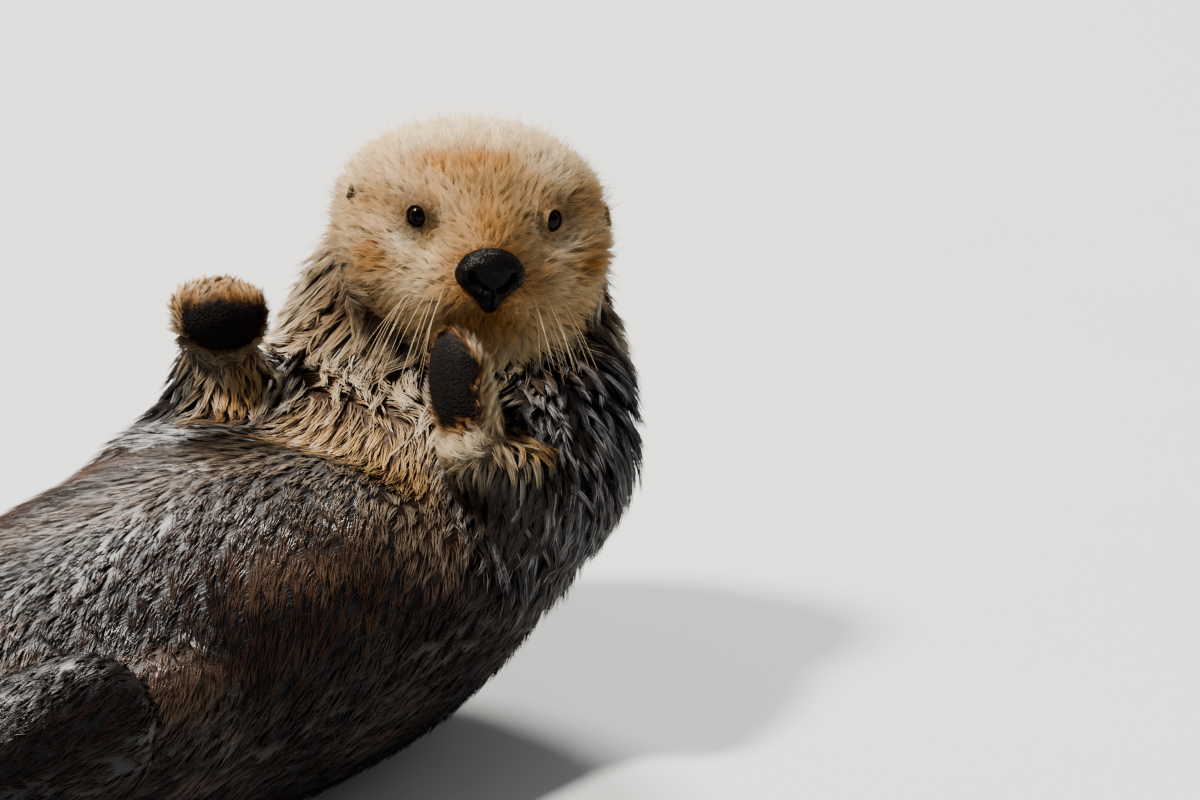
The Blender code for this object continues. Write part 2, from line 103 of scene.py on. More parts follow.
def smoothstep(low, high, values):
    """0 at low and before, 1 at high and past it, and an eased slope between."""
    t = np.clip((values - low) / (high - low), 0, 1)
    return t * t * (3 - 2 * t)


def mix(a, b, share):
    """a where share is 0 and b where it is 1."""
    share = np.asarray(share, float)[..., None]
    return np.asarray(a) * (1 - share) + np.asarray(b) * share


def read(collection, key, width, kind=np.float32):
    """One property of all of a mesh's elements, as an array."""
    values = np.empty(len(collection) * width, kind)
    collection.foreach_get(key, values)
    return values.reshape(-1, width) if width > 1 else values


def shown(mesh, slot, material):
    """A mesh as a piece of one material that rides with the otter."""
    mesh.materials.append(material)
    piece = bpy.data.objects.new(mesh.name, mesh)
    bpy.context.scene.collection.objects.link(piece)
    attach(piece, "root")
    return piece


def shown_for(mesh, name, slot, material, *nodes):
    """A smooth mesh as a piece that takes the place of the nodes."""
    mesh.name = name
    mesh.shade_smooth()
    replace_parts(shown(mesh, slot, material), *nodes)


def set_points(mesh, points):
    mesh.vertices.foreach_set("co", points.astype(np.float32).ravel())


def remeshed(mesh, voxel):
    """A mesh made anew as even faces about one voxel across, with what overlaps run together."""
    lump = bpy.data.objects.new("lump", mesh)
    bpy.context.scene.collection.objects.link(lump)
    remesh = lump.modifiers.new("Remesh", "REMESH")
    remesh.mode = "VOXEL"
    remesh.voxel_size = voxel
    bpy.context.view_layer.update()
    made = bpy.data.meshes.new_from_object(lump.evaluated_get(bpy.context.evaluated_depsgraph_get()))
    bpy.data.objects.remove(lump)
    return made


def as_mesh(work, name):
    """Hands a bmesh over to a new mesh."""
    mesh = bpy.data.meshes.new(name)
    work.to_mesh(mesh)
    work.free()
    return mesh


def add_colours(mesh, name, colours):
    rgba = np.ones((len(colours), 4), np.float32)
    rgba[:, :3] = colours
    mesh.attributes.new(name, "FLOAT_COLOR", "POINT").data.foreach_set("color", rgba.ravel())


def add_values(mesh, name, values):
    mesh.attributes.new(name, "FLOAT", "POINT").data.foreach_set("value", values.astype(np.float32))


def to_line(points, line):
    """Each point's distance to a chain of points."""
    found = np.full(len(points), 1e9)
    for start, end in zip(line, line[1:]):
        start, run = np.array(start), np.array(end) - np.array(start)
        part = np.clip(((points - start) @ run) / (run @ run), 0, 1)[:, None]
        found = np.minimum(found, np.linalg.norm(points - start - run * part, axis=1))
    return found


class Surface:
    """A mesh held as arrays, for fields that vary over it."""

    def __init__(self, mesh):
        mesh.calc_loop_triangles()
        self.points = read(mesh.vertices, "co", 3).astype(float)
        self.triangles = read(mesh.loop_triangles, "vertices", 3, np.int32)
        self.edges = read(mesh.edges, "vertices", 2, np.int32)
        self.count = len(self.points)

    def spread(self, values, rounds, share=1.0):
        """values averaged with their neighbours' rounds times; share, of 0 to 1, says how much where."""
        a, b = self.edges.T
        ends, others = np.concatenate([a, b]), np.concatenate([b, a])
        degree = np.maximum(np.bincount(ends, minlength=self.count), 1)
        values = np.asarray(values, float)
        flat = values.ndim == 1
        values = values[:, None] if flat else values
        share = np.broadcast_to(share, self.count)[:, None] * 0.5
        for _ in range(rounds):
            sums = [np.bincount(ends, c[others], self.count) for c in values.T]
            values = values + (np.stack(sums, 1) / degree[:, None] - values) * share
        return values[:, 0] if flat else values

    def face_vectors(self):
        a, b, c = (self.points[self.triangles[:, k]] for k in range(3))
        return np.cross(b - a, c - a)

    def normals(self):
        facing = self.face_vectors()
        sums = [
            sum(np.bincount(self.triangles[:, k], facing[:, axis], self.count) for k in range(3))
            for axis in range(3)
        ]
        return unit(np.stack(sums, 1))

    def areas(self):
        return np.linalg.norm(self.face_vectors(), axis=1) / 2


# ---------------------------------------------------------------- the skin
FLESH = sorted(set(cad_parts) - {"eye_left", "eye_right", "nose", "ear_left", "ear_right"})
SKIN_VOXEL = 0.0040
CLOSING = 0.0006  # how far each solid is grown, so that the gaps between them close


def welded(node):
    """A node's solid with its corners joined up, as a bmesh."""
    work = bmesh.new()
    work.from_mesh(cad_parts[node].data)
    bmesh.ops.remove_doubles(work, verts=work.verts, dist=1e-6)
    work.normal_update()
    return work


def flesh_surface():
    """All the flesh as one closed mesh, on which neighbouring solids have run together."""
    whole = bmesh.new()
    for node in [*FLESH, "eye_left", "eye_right", "nose"]:
        work = welded(node)
        for v in work.verts:
            v.co += v.normal * CLOSING
        mesh = as_mesh(work, "flesh")
        whole.from_mesh(mesh)
        bpy.data.meshes.remove(mesh)
    return remeshed(as_mesh(whole, "flesh"), SKIN_VOXEL)


def nearest_nodes(points):
    """For each point, the number in FLESH of the solid that it lies nearest to."""
    corners, faces, owners = [], [], []
    for number, node in enumerate(FLESH):
        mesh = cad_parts[node].data
        base = len(corners)
        corners += [v.co.copy() for v in mesh.vertices]
        faces += [[base + k for k in p.vertices] for p in mesh.polygons]
        owners += [number] * len(mesh.polygons)
    tree = BVHTree.FromPolygons(corners, faces)
    return np.array([owners[tree.find_nearest(p)[2]] for p in points.tolist()])


def soft_region(surface, owners, names, rounds=14):
    """1 on the named solids and 0 elsewhere, with a soft border."""
    chosen = [k for k, node in enumerate(FLESH) if node.startswith(tuple(names))]
    return surface.spread(np.isin(owners, chosen).astype(float), rounds)


def refined(mesh, centres, reach, levels):
    """Finer faces near the centres, for small folds."""
    work = bmesh.new()
    work.from_mesh(mesh)
    for level in range(levels):
        near = reach * (1 - 0.22 * level)
        edges = [
            e
            for e in work.edges
            if any((e.verts[0].co - c).length < near or (e.verts[1].co - c).length < near for c in centres)
        ]
        bmesh.ops.subdivide_edges(work, edges=edges, cuts=1, use_grid_fill=True, smooth=0.6)
    bmesh.ops.triangulate(work, faces=work.faces)
    work.to_mesh(mesh)
    work.free()
    return mesh


# How each region's coat is: how far the skin lies under its tips, how long and thick a tuft is, how high
# its tip stands off the skin, how far neighbours draw together, how far apart those clumps are, how wet
# it is, and the share of its tufts that are silver.
Traits = namedtuple("Traits", "depth length width stand clump spacing wet frost")
TRAITS = {
    "head": Traits(0.0085, 0.0092, 0.00048, 0.0100, 0.20, 0.0030, 0.0, 0.0),
    "neck": Traits(0.0110, 0.0300, 0.00100, 0.0120, 0.96, 0.0090, 0.8, 0.0),
    "trunk": Traits(0.0045, 0.0250, 0.00100, 0.0032, 0.66, 0.0090, 1.0, 0.0),
    "tail": Traits(0.0040, 0.0200, 0.00120, 0.0030, 0.60, 0.0080, 1.0, 0.02),
    "upper_arm": Traits(0.0080, 0.0270, 0.00085, 0.0090, 0.95, 0.0068, 0.9, 0.85),
    "forearm": Traits(0.0060, 0.0190, 0.00090, 0.0058, 0.90, 0.0068, 0.7, 0.05),
    "forepaw": Traits(0.0045, 0.0088, 0.00062, 0.0066, 0.30, 0.0034, 0.1, 0.0),
    "hind_leg": Traits(0.0045, 0.0210, 0.00120, 0.0030, 0.62, 0.0085, 1.0, 0.0),
    "hind_flipper": Traits(0.0010, 0.0075, 0.00080, 0.0016, 0.40, 0.0040, 0.9, 0.0),
}


def trait_fields(masks):
    """Each trait as a field over the skin, blended between regions."""
    total = sum(masks.values())
    return {
        key: sum(masks[region] * getattr(TRAITS[region], key) for region in TRAITS) / total
        for key in Traits._fields
    }


def fold_band(points):
    """1 along the fold of loose skin from the right elbow over the chest, behind the belly."""
    x, y, z = points.T
    level = np.exp(-(((z - 0.203) / 0.017) ** 4))
    return level * smoothstep(-0.095, -0.070, x) * smoothstep(0.062, 0.040, x) * (y > 0.34)


FOLD_RUN = (0.76, 0.58, -0.30)  # the way the hair lies along that fold


def lie_of_the_coat(surface, masks, normals):
    """The way the coat lies at each point of the skin: from nose to tail, parting over the belly, and
    drooping where it hangs wet."""
    points = surface.points
    ones, zeros = np.ones(surface.count), np.zeros(surface.count)
    apart = np.tanh(points[:, 0] / 0.06)
    down = np.stack([zeros, zeros, -ones], 1)
    tailward = np.stack([zeros, -ones, zeros], 1)
    from_nose = unit(points - from_head((0, -0.034, -0.030))) + HEAD_AXES[:, 1] * 0.25
    for side in SIDES:
        away = points - np.array(EYES[side])
        near = np.exp(-((np.linalg.norm(away, axis=1) / 0.0145) ** 4))[:, None]
        from_nose = from_nose * (1 - near) + unit(away) * near
    from_skull = unit(points - from_head((0, 0.060, 0.020)))
    droop = 0.02 + 0.75 * smoothstep(0.250, 0.200, points[:, 2])
    flows = {
        "head": from_nose,
        "neck": mix(
            from_skull + tailward * 0.30 + down * droop[:, None],
            np.array(FOLD_RUN) + zeros[:, None], fold_band(points),
        ),
        "trunk": np.stack([apart * 0.62, -ones, zeros], 1) + down * 0.35,
        "tail": tailward,
        "upper_arm": down + tailward * 0.45 + np.stack([apart * 0.25, zeros, zeros], 1),
        "forearm": down + tailward * 0.2,
        "hind_leg": tailward + down * 0.15,
    }
    total = sum(flows[region] * masks[region][:, None] for region in flows)
    for side, sign in SIDES.items():
        here = (points[:, 0] * sign > 0).astype(float)[:, None]
        paw = np.array((middle(f"forepaw_{side}") - middle(f"forearm_{side}")).normalized())
        foot = np.array((middle(f"hind_flipper_{side}") - middle(f"hind_leg_{side}")).normalized())
        total = total + here * (paw * masks["forepaw"][:, None] + foot * masks["hind_flipper"][:, None])
    flow = unit(total - normals * (total * normals).sum(1, keepdims=True))
    flow = surface.spread(surface.spread(flow, 8), 60, masks["trunk"] + masks["hind_leg"] + masks["tail"])
    return unit(flow - normals * (flow * normals).sum(1, keepdims=True))


def noise_field(points, scale, seed):
    """A smooth pattern of 0 to 1 over space, scale metres from patch to patch."""
    shift = Vector((seed * 7.3, seed * 3.1, seed * 5.7))
    values = [noise.noise(Vector(p) / scale + shift) for p in points.tolist()]
    return np.clip(np.array(values) * 0.9 + 0.5, 0, 1)


# ---------------------------------------------------------------- markings
CREAM, PALE, SAND = (0.78, 0.52, 0.255), (0.97, 0.82, 0.58), (0.68, 0.54, 0.36)
HONEY, AMBER, GOLD = (0.68, 0.43, 0.21), (0.60, 0.31, 0.105), (0.62, 0.32, 0.09)
RUST, TAN, DUSK = (0.50, 0.19, 0.030), (0.46, 0.26, 0.110), (0.24, 0.115, 0.045)
UMBER, CHESTNUT, BELLY = (0.10, 0.052, 0.026), (0.118, 0.076, 0.056), (0.011, 0.009, 0.010)
PITCH, PAD = (0.007, 0.006, 0.007), (0.005, 0.0035, 0.0035)
SILVER, STEEL = (0.40, 0.33, 0.25), (0.50, 0.51, 0.53)  # silver hair, and the same where it is soaked
# The nose's leather and the painted shade in its creases and nostrils; the ear's skin and the painted shade
# in its hollow.
NOSE_HIDE, NOSE_SHADE = (0.005, 0.004, 0.004), (0.0015, 0.0015, 0.0015)
EAR_HIDE, EAR_SHADE = (0.16, 0.09, 0.05), (0.02, 0.012, 0.008)
WHISKER_ENDS = (0.50, 0.36, 0.20), (0.78, 0.62, 0.40)  # root and tip
CLAW_ENDS = (0.05, 0.035, 0.03), (0.18, 0.13, 0.10)

# Patches on the head: centre and reach in the head's frame, colour and strength, on both sides of it.
FACE_PATCHES = (
    ((0.000, 0.034, 0.058), (0.095, 0.050, 0.024), PALE, 0.9),  # crown
    ((0.000, -0.008, 0.020), (0.040, 0.034, 0.014), HONEY, 0.95),  # forehead
    ((0.000, -0.010, 0.012), (0.020, 0.034, 0.010), TAN, 0.5),  # its middle
    ((0.034, -0.004, 0.010), (0.010, 0.016, 0.010), AMBER, 0.5),  # inner brow
    ((0.000, -0.026, -0.004), (0.032, 0.030, 0.017), AMBER, 0.85),  # bridge of the nose
    ((0.000, -0.030, -0.014), (0.020, 0.020, 0.006), PALE, 0.3),  # over the nose pad
    ((0.062, 0.014, 0.006), (0.013, 0.022, 0.012), AMBER, 0.75),  # outside the eye
    ((0.061, 0.002, -0.026), (0.015, 0.026, 0.015), AMBER, 0.80),  # cheek
    ((0.063, 0.004, -0.027), (0.010, 0.026, 0.009), RUST, 0.45),  # its middle
    ((0.047, -0.004, -0.018), (0.012, 0.020, 0.008), PALE, 1.0),  # under the eye
    ((0.000, -0.036, -0.034), (0.039, 0.027, 0.035), AMBER, 0.95),  # round the nose
    ((0.000, -0.038, -0.038), (0.027, 0.022, 0.027), RUST, 0.7),  # close against the nose
    ((0.000, -0.034, -0.059), (0.015, 0.024, 0.0100), DUSK, 1.0),  # the parting of the lip
    ((0.042, -0.018, -0.044), (0.014, 0.022, 0.016), PALE, 0.35),  # whisker pads
    ((0.000, -0.028, -0.064), (0.034, 0.026, 0.012), AMBER, 0.9),  # under the nose
    ((0.000, -0.014, -0.086), (0.046, 0.030, 0.012), PALE, 0.5),  # chin
    ((0.055, 0.000, -0.056), (0.024, 0.030, 0.014), HONEY, 0.6),  # low cheek
    ((0.0435, -0.002, 0.002), (0.0112, 0.030, 0.0115), DUSK, 0.95),  # round the eye: dark brown fur, partly painted shade of the socket
    ((0.096, 0.030, -0.030), (0.018, 0.040, 0.034), UMBER, 0.45),  # shaded side of the jaw
)
# The same for patches on one side alone.
BROW_PATCHES = (
    ((-0.030, 0.006, 0.0262), (0.028, 0.026, 0.0080), AMBER, 0.85),  # band over the brow
    ((-0.004, 0.003, 0.0295), (0.032, 0.026, 0.0080), AMBER, 0.80),
    ((-0.012, 0.003, 0.0280), (0.032, 0.026, 0.0040), RUST, 0.30),  # its middle
    ((0.046, 0.004, 0.028), (0.018, 0.026, 0.012), PALE, 1.0),  # over the left eye: pale fur, partly a painted highlight
    ((0.032, -0.026, -0.032), (0.010, 0.026, 0.026), TAN, 0.75),  # painted shade on the left side of the muzzle
)


RIDGE = ((0.000, 0.342, 0.200), (0.100, 0.380, 0.174))  # the line where the belly rises to the arms, silvery there: partly silver hair and partly a painted highlight along that crest


def blob(place, centre, reach, both=True):
    """1 at the centre of an oval and falling softly to 0 past its reach, on one or both sides."""
    folded = np.abs(place) * (1, 0, 0) + place * (0, 1, 1) if both else place
    away = (folded - np.asarray(centre)) / np.asarray(reach)
    return np.exp(-1.3 * (away**2).sum(1) ** 1.3)


SHADE_FACING = unit(np.array((-0.50, 0.80, -0.32)))  # the way the side away from the camera faces: painted shade darkens the coat there, down the back of the neck


def head_colour(place, facing_shade, small, large):
    """Cream with the patches of the face, darkening behind the ears, and painted shade where the head turns
    away from the camera, down the nape.
    """
    colour = mix(CREAM, PALE, 0.15 + 0.6 * small)
    patches = [(*spot, True) for spot in FACE_PATCHES] + [(*spot, False) for spot in BROW_PATCHES]
    for centre, reach, patch, strength, both in patches:
        share = blob(place, centre, reach, both) * strength * (0.6 + 0.8 * small)
        colour = mix(colour, patch, np.clip(share, 0, 1))
    behind_ears = place[:, 1] + 0.35 * np.maximum(-place[:, 2] - 0.02, 0) + 0.03 * (large - 0.5)
    colour = mix(colour, TAN, 0.6 * smoothstep(0.06, 0.13, behind_ears))
    # painted shade: dusky brown where the surface turns away from the camera
    return mix(colour, DUSK, 0.9 * smoothstep(0.10, 0.75, facing_shade + 0.35 * (small - 0.5)))


def neck_colours(points, facing_shade, small, large):
    """Root and tip: sandy in front, with painted shade behind, where the neck turns away from the camera,
    and near black down the left side.
    """
    # near black down the left side: partly the shoulder's dark fur, partly painted shade
    dark_side = smoothstep(0.080, 0.110, points[:, 0] + 0.030 * (large - 0.5))
    # painted shade where the neck turns away from the camera
    behind = smoothstep(-0.02, 0.42, facing_shade + 0.3 * (large - 0.5))
    tip = mix(mix(SAND, PALE, 0.25 + 0.6 * small), TAN, 0.5 * smoothstep(0.5, 0.8, large))
    tip = mix(mix(tip, mix(UMBER, BELLY, 0.35), 0.95 * behind), BELLY, dark_side)
    root = mix(mix(UMBER, BELLY, 0.3), PITCH, np.maximum(dark_side, behind * 0.7))
    return root, tip


def belly_colours(points, small, large, patch):
    """Root and tip: near black with chestnut patches, silvery on the ridge (partly a painted highlight) and
    cream on the fold.
    """
    tip = mix(mix(BELLY, UMBER, 0.5 * small), CHESTNUT, smoothstep(0.42, 0.66, patch))
    # silver along the ridge: partly silver hair, partly a painted highlight
    ridge = np.exp(-((to_line(points, RIDGE) / 0.038) ** 2)) * (0.45 + 0.65 * small)
    chest = smoothstep(0.10, 0.30, points[:, 1] + 0.06 * (large - 0.5))
    chest = chest * smoothstep(0.12, 0.17, points[:, 2])
    tip = mix(mix(tip, UMBER, 0.45 * chest), SILVER, ridge)
    root = mix(BELLY, UMBER, 0.35 * smoothstep(0.42, 0.7, patch))
    fold = smoothstep(0.376, 0.402, points[:, 1]) * smoothstep(0.150, 0.185, points[:, 2])
    fold = fold * smoothstep(0.11, 0.06, points[:, 0]) * smoothstep(-0.15, -0.11, points[:, 0])
    return mix(root, UMBER, fold * 0.8), mix(tip, CREAM, fold)


def arm_colours(points, small, large):
    """Root and tip: cream and gold within, near black on the outer side and low on the left arm."""
    tip = mix(mix(CREAM, PALE, small), GOLD, 0.7 * smoothstep(0.45, 0.7, large))
    outer = smoothstep(-0.078, -0.094, points[:, 0]) + smoothstep(0.150, 0.170, points[:, 0])
    low = smoothstep(0.225, 0.195, points[:, 2] + 0.012 * (large - 0.5)) * (points[:, 0] > 0.05)
    outer = np.clip(outer + low, 0, 1)
    return mix(UMBER, PITCH, outer), mix(tip, BELLY, 0.95 * outer)


def markings(surface, masks):
    """The coat's colour at its roots and tips over the whole skin."""
    points = surface.points
    # how far each point turns away from the camera, for painted shade
    facing_shade = surface.spread(surface.normals() @ SHADE_FACING, 12)
    place = in_head(points)
    small, large = noise_field(points, 0.010, 1), noise_field(points, 0.038, 2)
    patch = 0.65 * noise_field(points * (1, 0.6, 1), 0.055, 3)
    patch = patch + 0.35 * noise_field(points * (1, 0.4, 1), 0.016, 4)
    head = head_colour(place, facing_shade, small, large)
    shade = 0.50 - 0.18 * smoothstep(0.042, 0.075, np.abs(place[:, 0]))  # of its roots: partly darker underfur and partly painted shade between the tufts, deepest at the sides
    neck_root, neck_tip = neck_colours(points, facing_shade, small, large)
    belly_root, belly_tip = belly_colours(points, small, large, patch)
    arm_root, arm_tip = arm_colours(points, small, large)
    paw = mix(mix(PALE, HONEY, 0.7 * small), GOLD, 0.5 * smoothstep(0.45, 0.75, large))
    foot = mix(BELLY, UMBER, 0.5 * small)
    ends = {  # the root's colour and the tip's
        "head": (head * shade[:, None], head),
        "neck": (neck_root, neck_tip),
        "trunk": (belly_root, belly_tip),
        "tail": (mix(BELLY, PITCH, small), mix(BELLY, CHESTNUT, 0.4 * patch)),
        "upper_arm": (mix(BELLY, PITCH, 0.6), mix(BELLY, UMBER, 0.4 * small)),
        "forearm": (arm_root, arm_tip),
        "forepaw": (paw * 0.4, paw),
        "hind_leg": (mix(BELLY, PITCH, small), mix(BELLY, UMBER, 0.35 * patch)),
        "hind_flipper": (foot * 0.7, foot),
    }
    total = sum(masks.values())[:, None]
    return [sum(masks[region][:, None] * ends[region][k] for region in TRAITS) / total for k in range(2)]


# ---------------------------------------------------------------- folds of the face, pads of the paws
JAW_WIDE, JAW_DEEP, JAW_LEVEL = 0.094, 0.066, -0.020  # the dry fluff ends on this oval, in the head's frame
JAW_UNDERCUT = 0.006  # how much deeper the neck lies just under the fluff
JAW_RISE = 0.35  # and its edge climbs this much for each metre back past the cheeks
JAW_POWER = 1.65  # an oval's is 2: this one is drawn in below the cheeks


def past_jaw(points):
    """How far out each point is from the middle of the face's dry fluff, with 1 at its edge."""
    x, y, z = in_head(points).T
    drop = np.minimum(z - JAW_RISE * np.maximum(y - 0.020, 0) - JAW_LEVEL, 0)
    x, drop = np.abs(x) / JAW_WIDE * (drop < 0), np.abs(drop) / JAW_DEEP
    return (x**JAW_POWER + drop**JAW_POWER) ** (1 / JAW_POWER)


LID_UPPER, LID_LOWER = 0.0060, 0.0070  # the opening between the lids, from its middle
LID_WIDE = {"left": 0.0047, "right": 0.0056}  # the left eye is narrowed
LID_TILT = 0.12  # how much the opening's inner corner drops for each metre inward
EYE_SINK = 0.0038  # how far the eyeball sits behind its solid's place
LID_THICK, LID_CLEAR = 0.0011, 0.0002  # the lid's rim over the eyeball
EYE_BED = 0.0022  # how deep the skin lies behind the open front of the eyeball
MOUTH = ((-0.024, -0.0600), (-0.014, -0.0655), (0.0, -0.0610), (0.014, -0.0655), (0.024, -0.0600))  # x, z


def socket_frame(surface, normals, side):
    """A frame at the eyeball's centre, +Z out of the socket and +X along the lids."""
    centre = np.array(EYES[side])
    near = np.linalg.norm(surface.points - centre, axis=1) < 0.013
    out = Vector(unit(normals[near].sum(0)))
    level = (Vector(HEAD_AXES[:, 0]) - out * out.dot(Vector(HEAD_AXES[:, 0]))).normalized()
    axes = Matrix((level, out.cross(level), out)).transposed().to_4x4()
    return Matrix.Translation(EYES[side] - out * EYE_SINK) @ axes


def opening(x, y, side):
    """How far out a place is from the middle of the eye, with 1 at the lids' edge."""
    y = y - LID_TILT * SIDES[side] * x
    return np.hypot(x / LID_WIDE[side], y / np.where(y > 0, LID_UPPER, LID_LOWER))


def lid_ring(points, socket, side):
    """The same for points in space, with 99 behind the eye."""
    x, y, z = ((points - np.array(socket.translation)) @ np.array(socket.to_3x3())).T
    return np.where(z > -0.004, opening(x, y, side), 99)


def inside_share(points, node, margin):
    """1 for points inside a node's solid grown by the margin, else 0."""
    work = welded(node)
    tree = BVHTree.FromBMesh(work)
    share = np.zeros(len(points))
    for number in np.flatnonzero(np.linalg.norm(points - np.array(middle(node)), axis=1) < 0.05):
        spot, facing, _, _ = tree.find_nearest(points[number].tolist())
        share[number] = (Vector(points[number]) - spot).dot(facing) < margin
    work.free()
    return share


def open_lids(points, socket, side):
    """Draws the skin round the eyeball: behind it within the opening, close over it at the rim."""
    turn, centre = np.array(socket.to_3x3()), np.array(socket.translation)
    local = (points - centre) @ turn
    x, y, z = local.T
    ring, level = opening(x, y, side), np.hypot(x, y)
    close = (ring < 3.2) & (z > -0.004)
    ball = np.sqrt(np.maximum(EYE_RADIUS**2 - level**2, 0))
    rim = np.sqrt(np.maximum((EYE_RADIUS + LID_THICK) ** 2 - level**2, 0)) + LID_CLEAR
    lid = np.where(ring < 1, ball - EYE_BED, rim)
    lid = np.where(level > EYE_RADIUS, z, lid)
    share = 1 - smoothstep(1.25, 2.3, ring)
    local[:, 2] = np.where(close, z + (lid - z) * share, z)
    return local @ turn.T + centre


def crease_mouth(surface, normals):
    """Presses the line of the closed lips into the muzzle, and says how near each point is to it."""
    place = in_head(surface.points)
    front = smoothstep(0.004, -0.012, place[:, 1])
    away = to_line(place[:, [0, 2]], MOUTH)
    near = np.exp(-((away / 0.0016) ** 2)) * front
    surface.points = surface.points - normals * (near * 0.0022)[:, None]
    return near


def palm_shares(surface, owners, normals):
    """1 on the bare pads of the forepaws, falling to 0 at their furry rims."""
    share = np.zeros(surface.count)
    for side in SIDES:
        own = owners == FLESH.index(f"forepaw_{side}")
        palm = np.array(PALMS[side].normalized())
        forward = np.array((middle(f"forepaw_{side}") - middle(f"forearm_{side}")).normalized())
        forward = unit(forward - palm * (forward @ palm))
        across = np.cross(forward, palm)
        spots = surface.points - np.array(middle(f"forepaw_{side}")) - forward * PAD_SHIFT[side]
        wide, tall = PAD_REACH[side]
        round_off = np.hypot((spots @ across) / wide, (spots @ forward) / tall)
        round_off = round_off + 0.35 * (noise_field(surface.points, 0.008, 7) - 0.5)
        facing = smoothstep(0.15, 0.5, normals @ palm)
        share = np.maximum(share, own * facing * smoothstep(1.20, 0.85, round_off))
    return surface.spread(share, 2)


# How softly these regions' coats run into the next, in rounds of averaging.
BLEND = {"head": 60, "neck": 45, "trunk": 30, "hind_leg": 30, "tail": 20}
SHARP_BLEND = 8  # and the others'
SKIN_ROUNDS, SEAM_ROUNDS = 22, 140  # how much the whole skin is smoothed, and the seams between solids
NOSE_BED = 0.0055  # how much deeper the skin lies behind the nose pad, clear of its nostrils
SKIN_CLEARANCE = 0.0015  # of the skin over the floor, for the coat under it
LIPS = (0, -0.020, -0.062)  # their middle, in the head's frame
NOSE_ROOT = (0, -0.040, -0.036)  # the middle of the nose's back, in the same
NOSE_MARGIN = 0.0012  # no coat grows this near the nose pad
EYE_DETAIL, LIP_DETAIL = 0.022, 0.026  # how far round the eyes and the lips the skin is finer
# Hollows in the face: centre and reach in the head's frame, mirrored, and depth.
HOLLOWS = (
    ((0.042, 0.000, 0.000), (0.015, 0.040, 0.013), 0.0028),  # the eye's own
    ((0.036, -0.014, -0.014), (0.011, 0.026, 0.014), 0.0055),  # between the eye and the muzzle
)


def coat_regions(surface, owners):
    """Each region's share at every point, with the wet neck reaching up to the edge of the face's dry
    fluff, and a band that lies just under that edge."""
    masks = {
        region: soft_region(surface, owners, [region], BLEND.get(region, SHARP_BLEND)) for region in TRAITS
    }
    beyond = past_jaw(surface.points)
    nape = smoothstep(0.070, 0.120, in_head(surface.points)[:, 1])  # where fluff runs softly into the neck
    wet_neck = smoothstep(0, 1, (beyond - 0.96 + 0.55 * nape) / (0.09 + 0.85 * nape)) * masks["head"]
    masks["head"], masks["neck"] = masks["head"] - wet_neck, masks["neck"] + wet_neck
    under_jaw = np.exp(-(((beyond - 1.16) / 0.13) ** 2)) * masks["neck"] * (1 - nape)
    return masks, under_jaw


def smooth_skin(surface, masks):
    """Takes out facets and the steps between solids, least of all on the paws and feet."""
    delicate = np.clip(masks["forepaw"] + masks["forearm"] * 0.5 + masks["hind_flipper"] * 1.3, 0, 0.85)
    surface.points = surface.spread(surface.points, SKIN_ROUNDS, 1 - delicate)
    largest = np.max(list(masks.values()), axis=0) / sum(masks.values())
    seams = np.clip(2.4 * (1 - largest), 0, 1) * (1 - np.clip(delicate * 2, 0, 1))
    smoothed = np.clip(1.5 * surface.spread(seams, 25), 0, 1) * (1 - delicate)
    surface.points = surface.spread(surface.points, SEAM_ROUNDS, smoothed)


def length_left(surface, palms):
    """How much of its region's length the coat keeps: less round the eyes and nose, none on the pads."""
    kept = np.ones(surface.count)
    for eye in EYES.values():
        away = np.linalg.norm(surface.points - np.array(eye), axis=1)
        kept = np.minimum(kept, smoothstep(0.007, 0.022, away))
    away = np.linalg.norm(in_head(surface.points) - NOSE_ROOT, axis=1)
    return np.minimum(kept, 0.25 + 0.75 * smoothstep(0.016, 0.046, away)) * (1 - palms)


def darken_paws(surface, masks, palms, root, tip):
    """Dark hair over the left paw's toes, and hair that darkens through rust to the pads' rims."""
    toes = np.array((middle("forepaw_left") - middle("forearm_left")).normalized())
    past = (surface.points - np.array(middle("forepaw_left"))) @ toes
    toe_end = smoothstep(0.020, 0.030, past) * masks["forepaw"] * (surface.points[:, 0] > 0)
    tip, root = mix(tip, UMBER, 0.9 * toe_end), mix(root, PITCH, 0.9 * toe_end)
    near_pad, edge = smoothstep(0.02, 0.25, palms), smoothstep(0.25, 0.6, palms)
    grain = smoothstep(0.35, 0.75, noise_field(surface.points, 0.006, 6))
    tip = mix(mix(tip, RUST, 0.8 * near_pad), mix(PITCH, UMBER, grain), edge)
    root = mix(mix(root, UMBER, near_pad), PITCH, edge)
    return root, tip


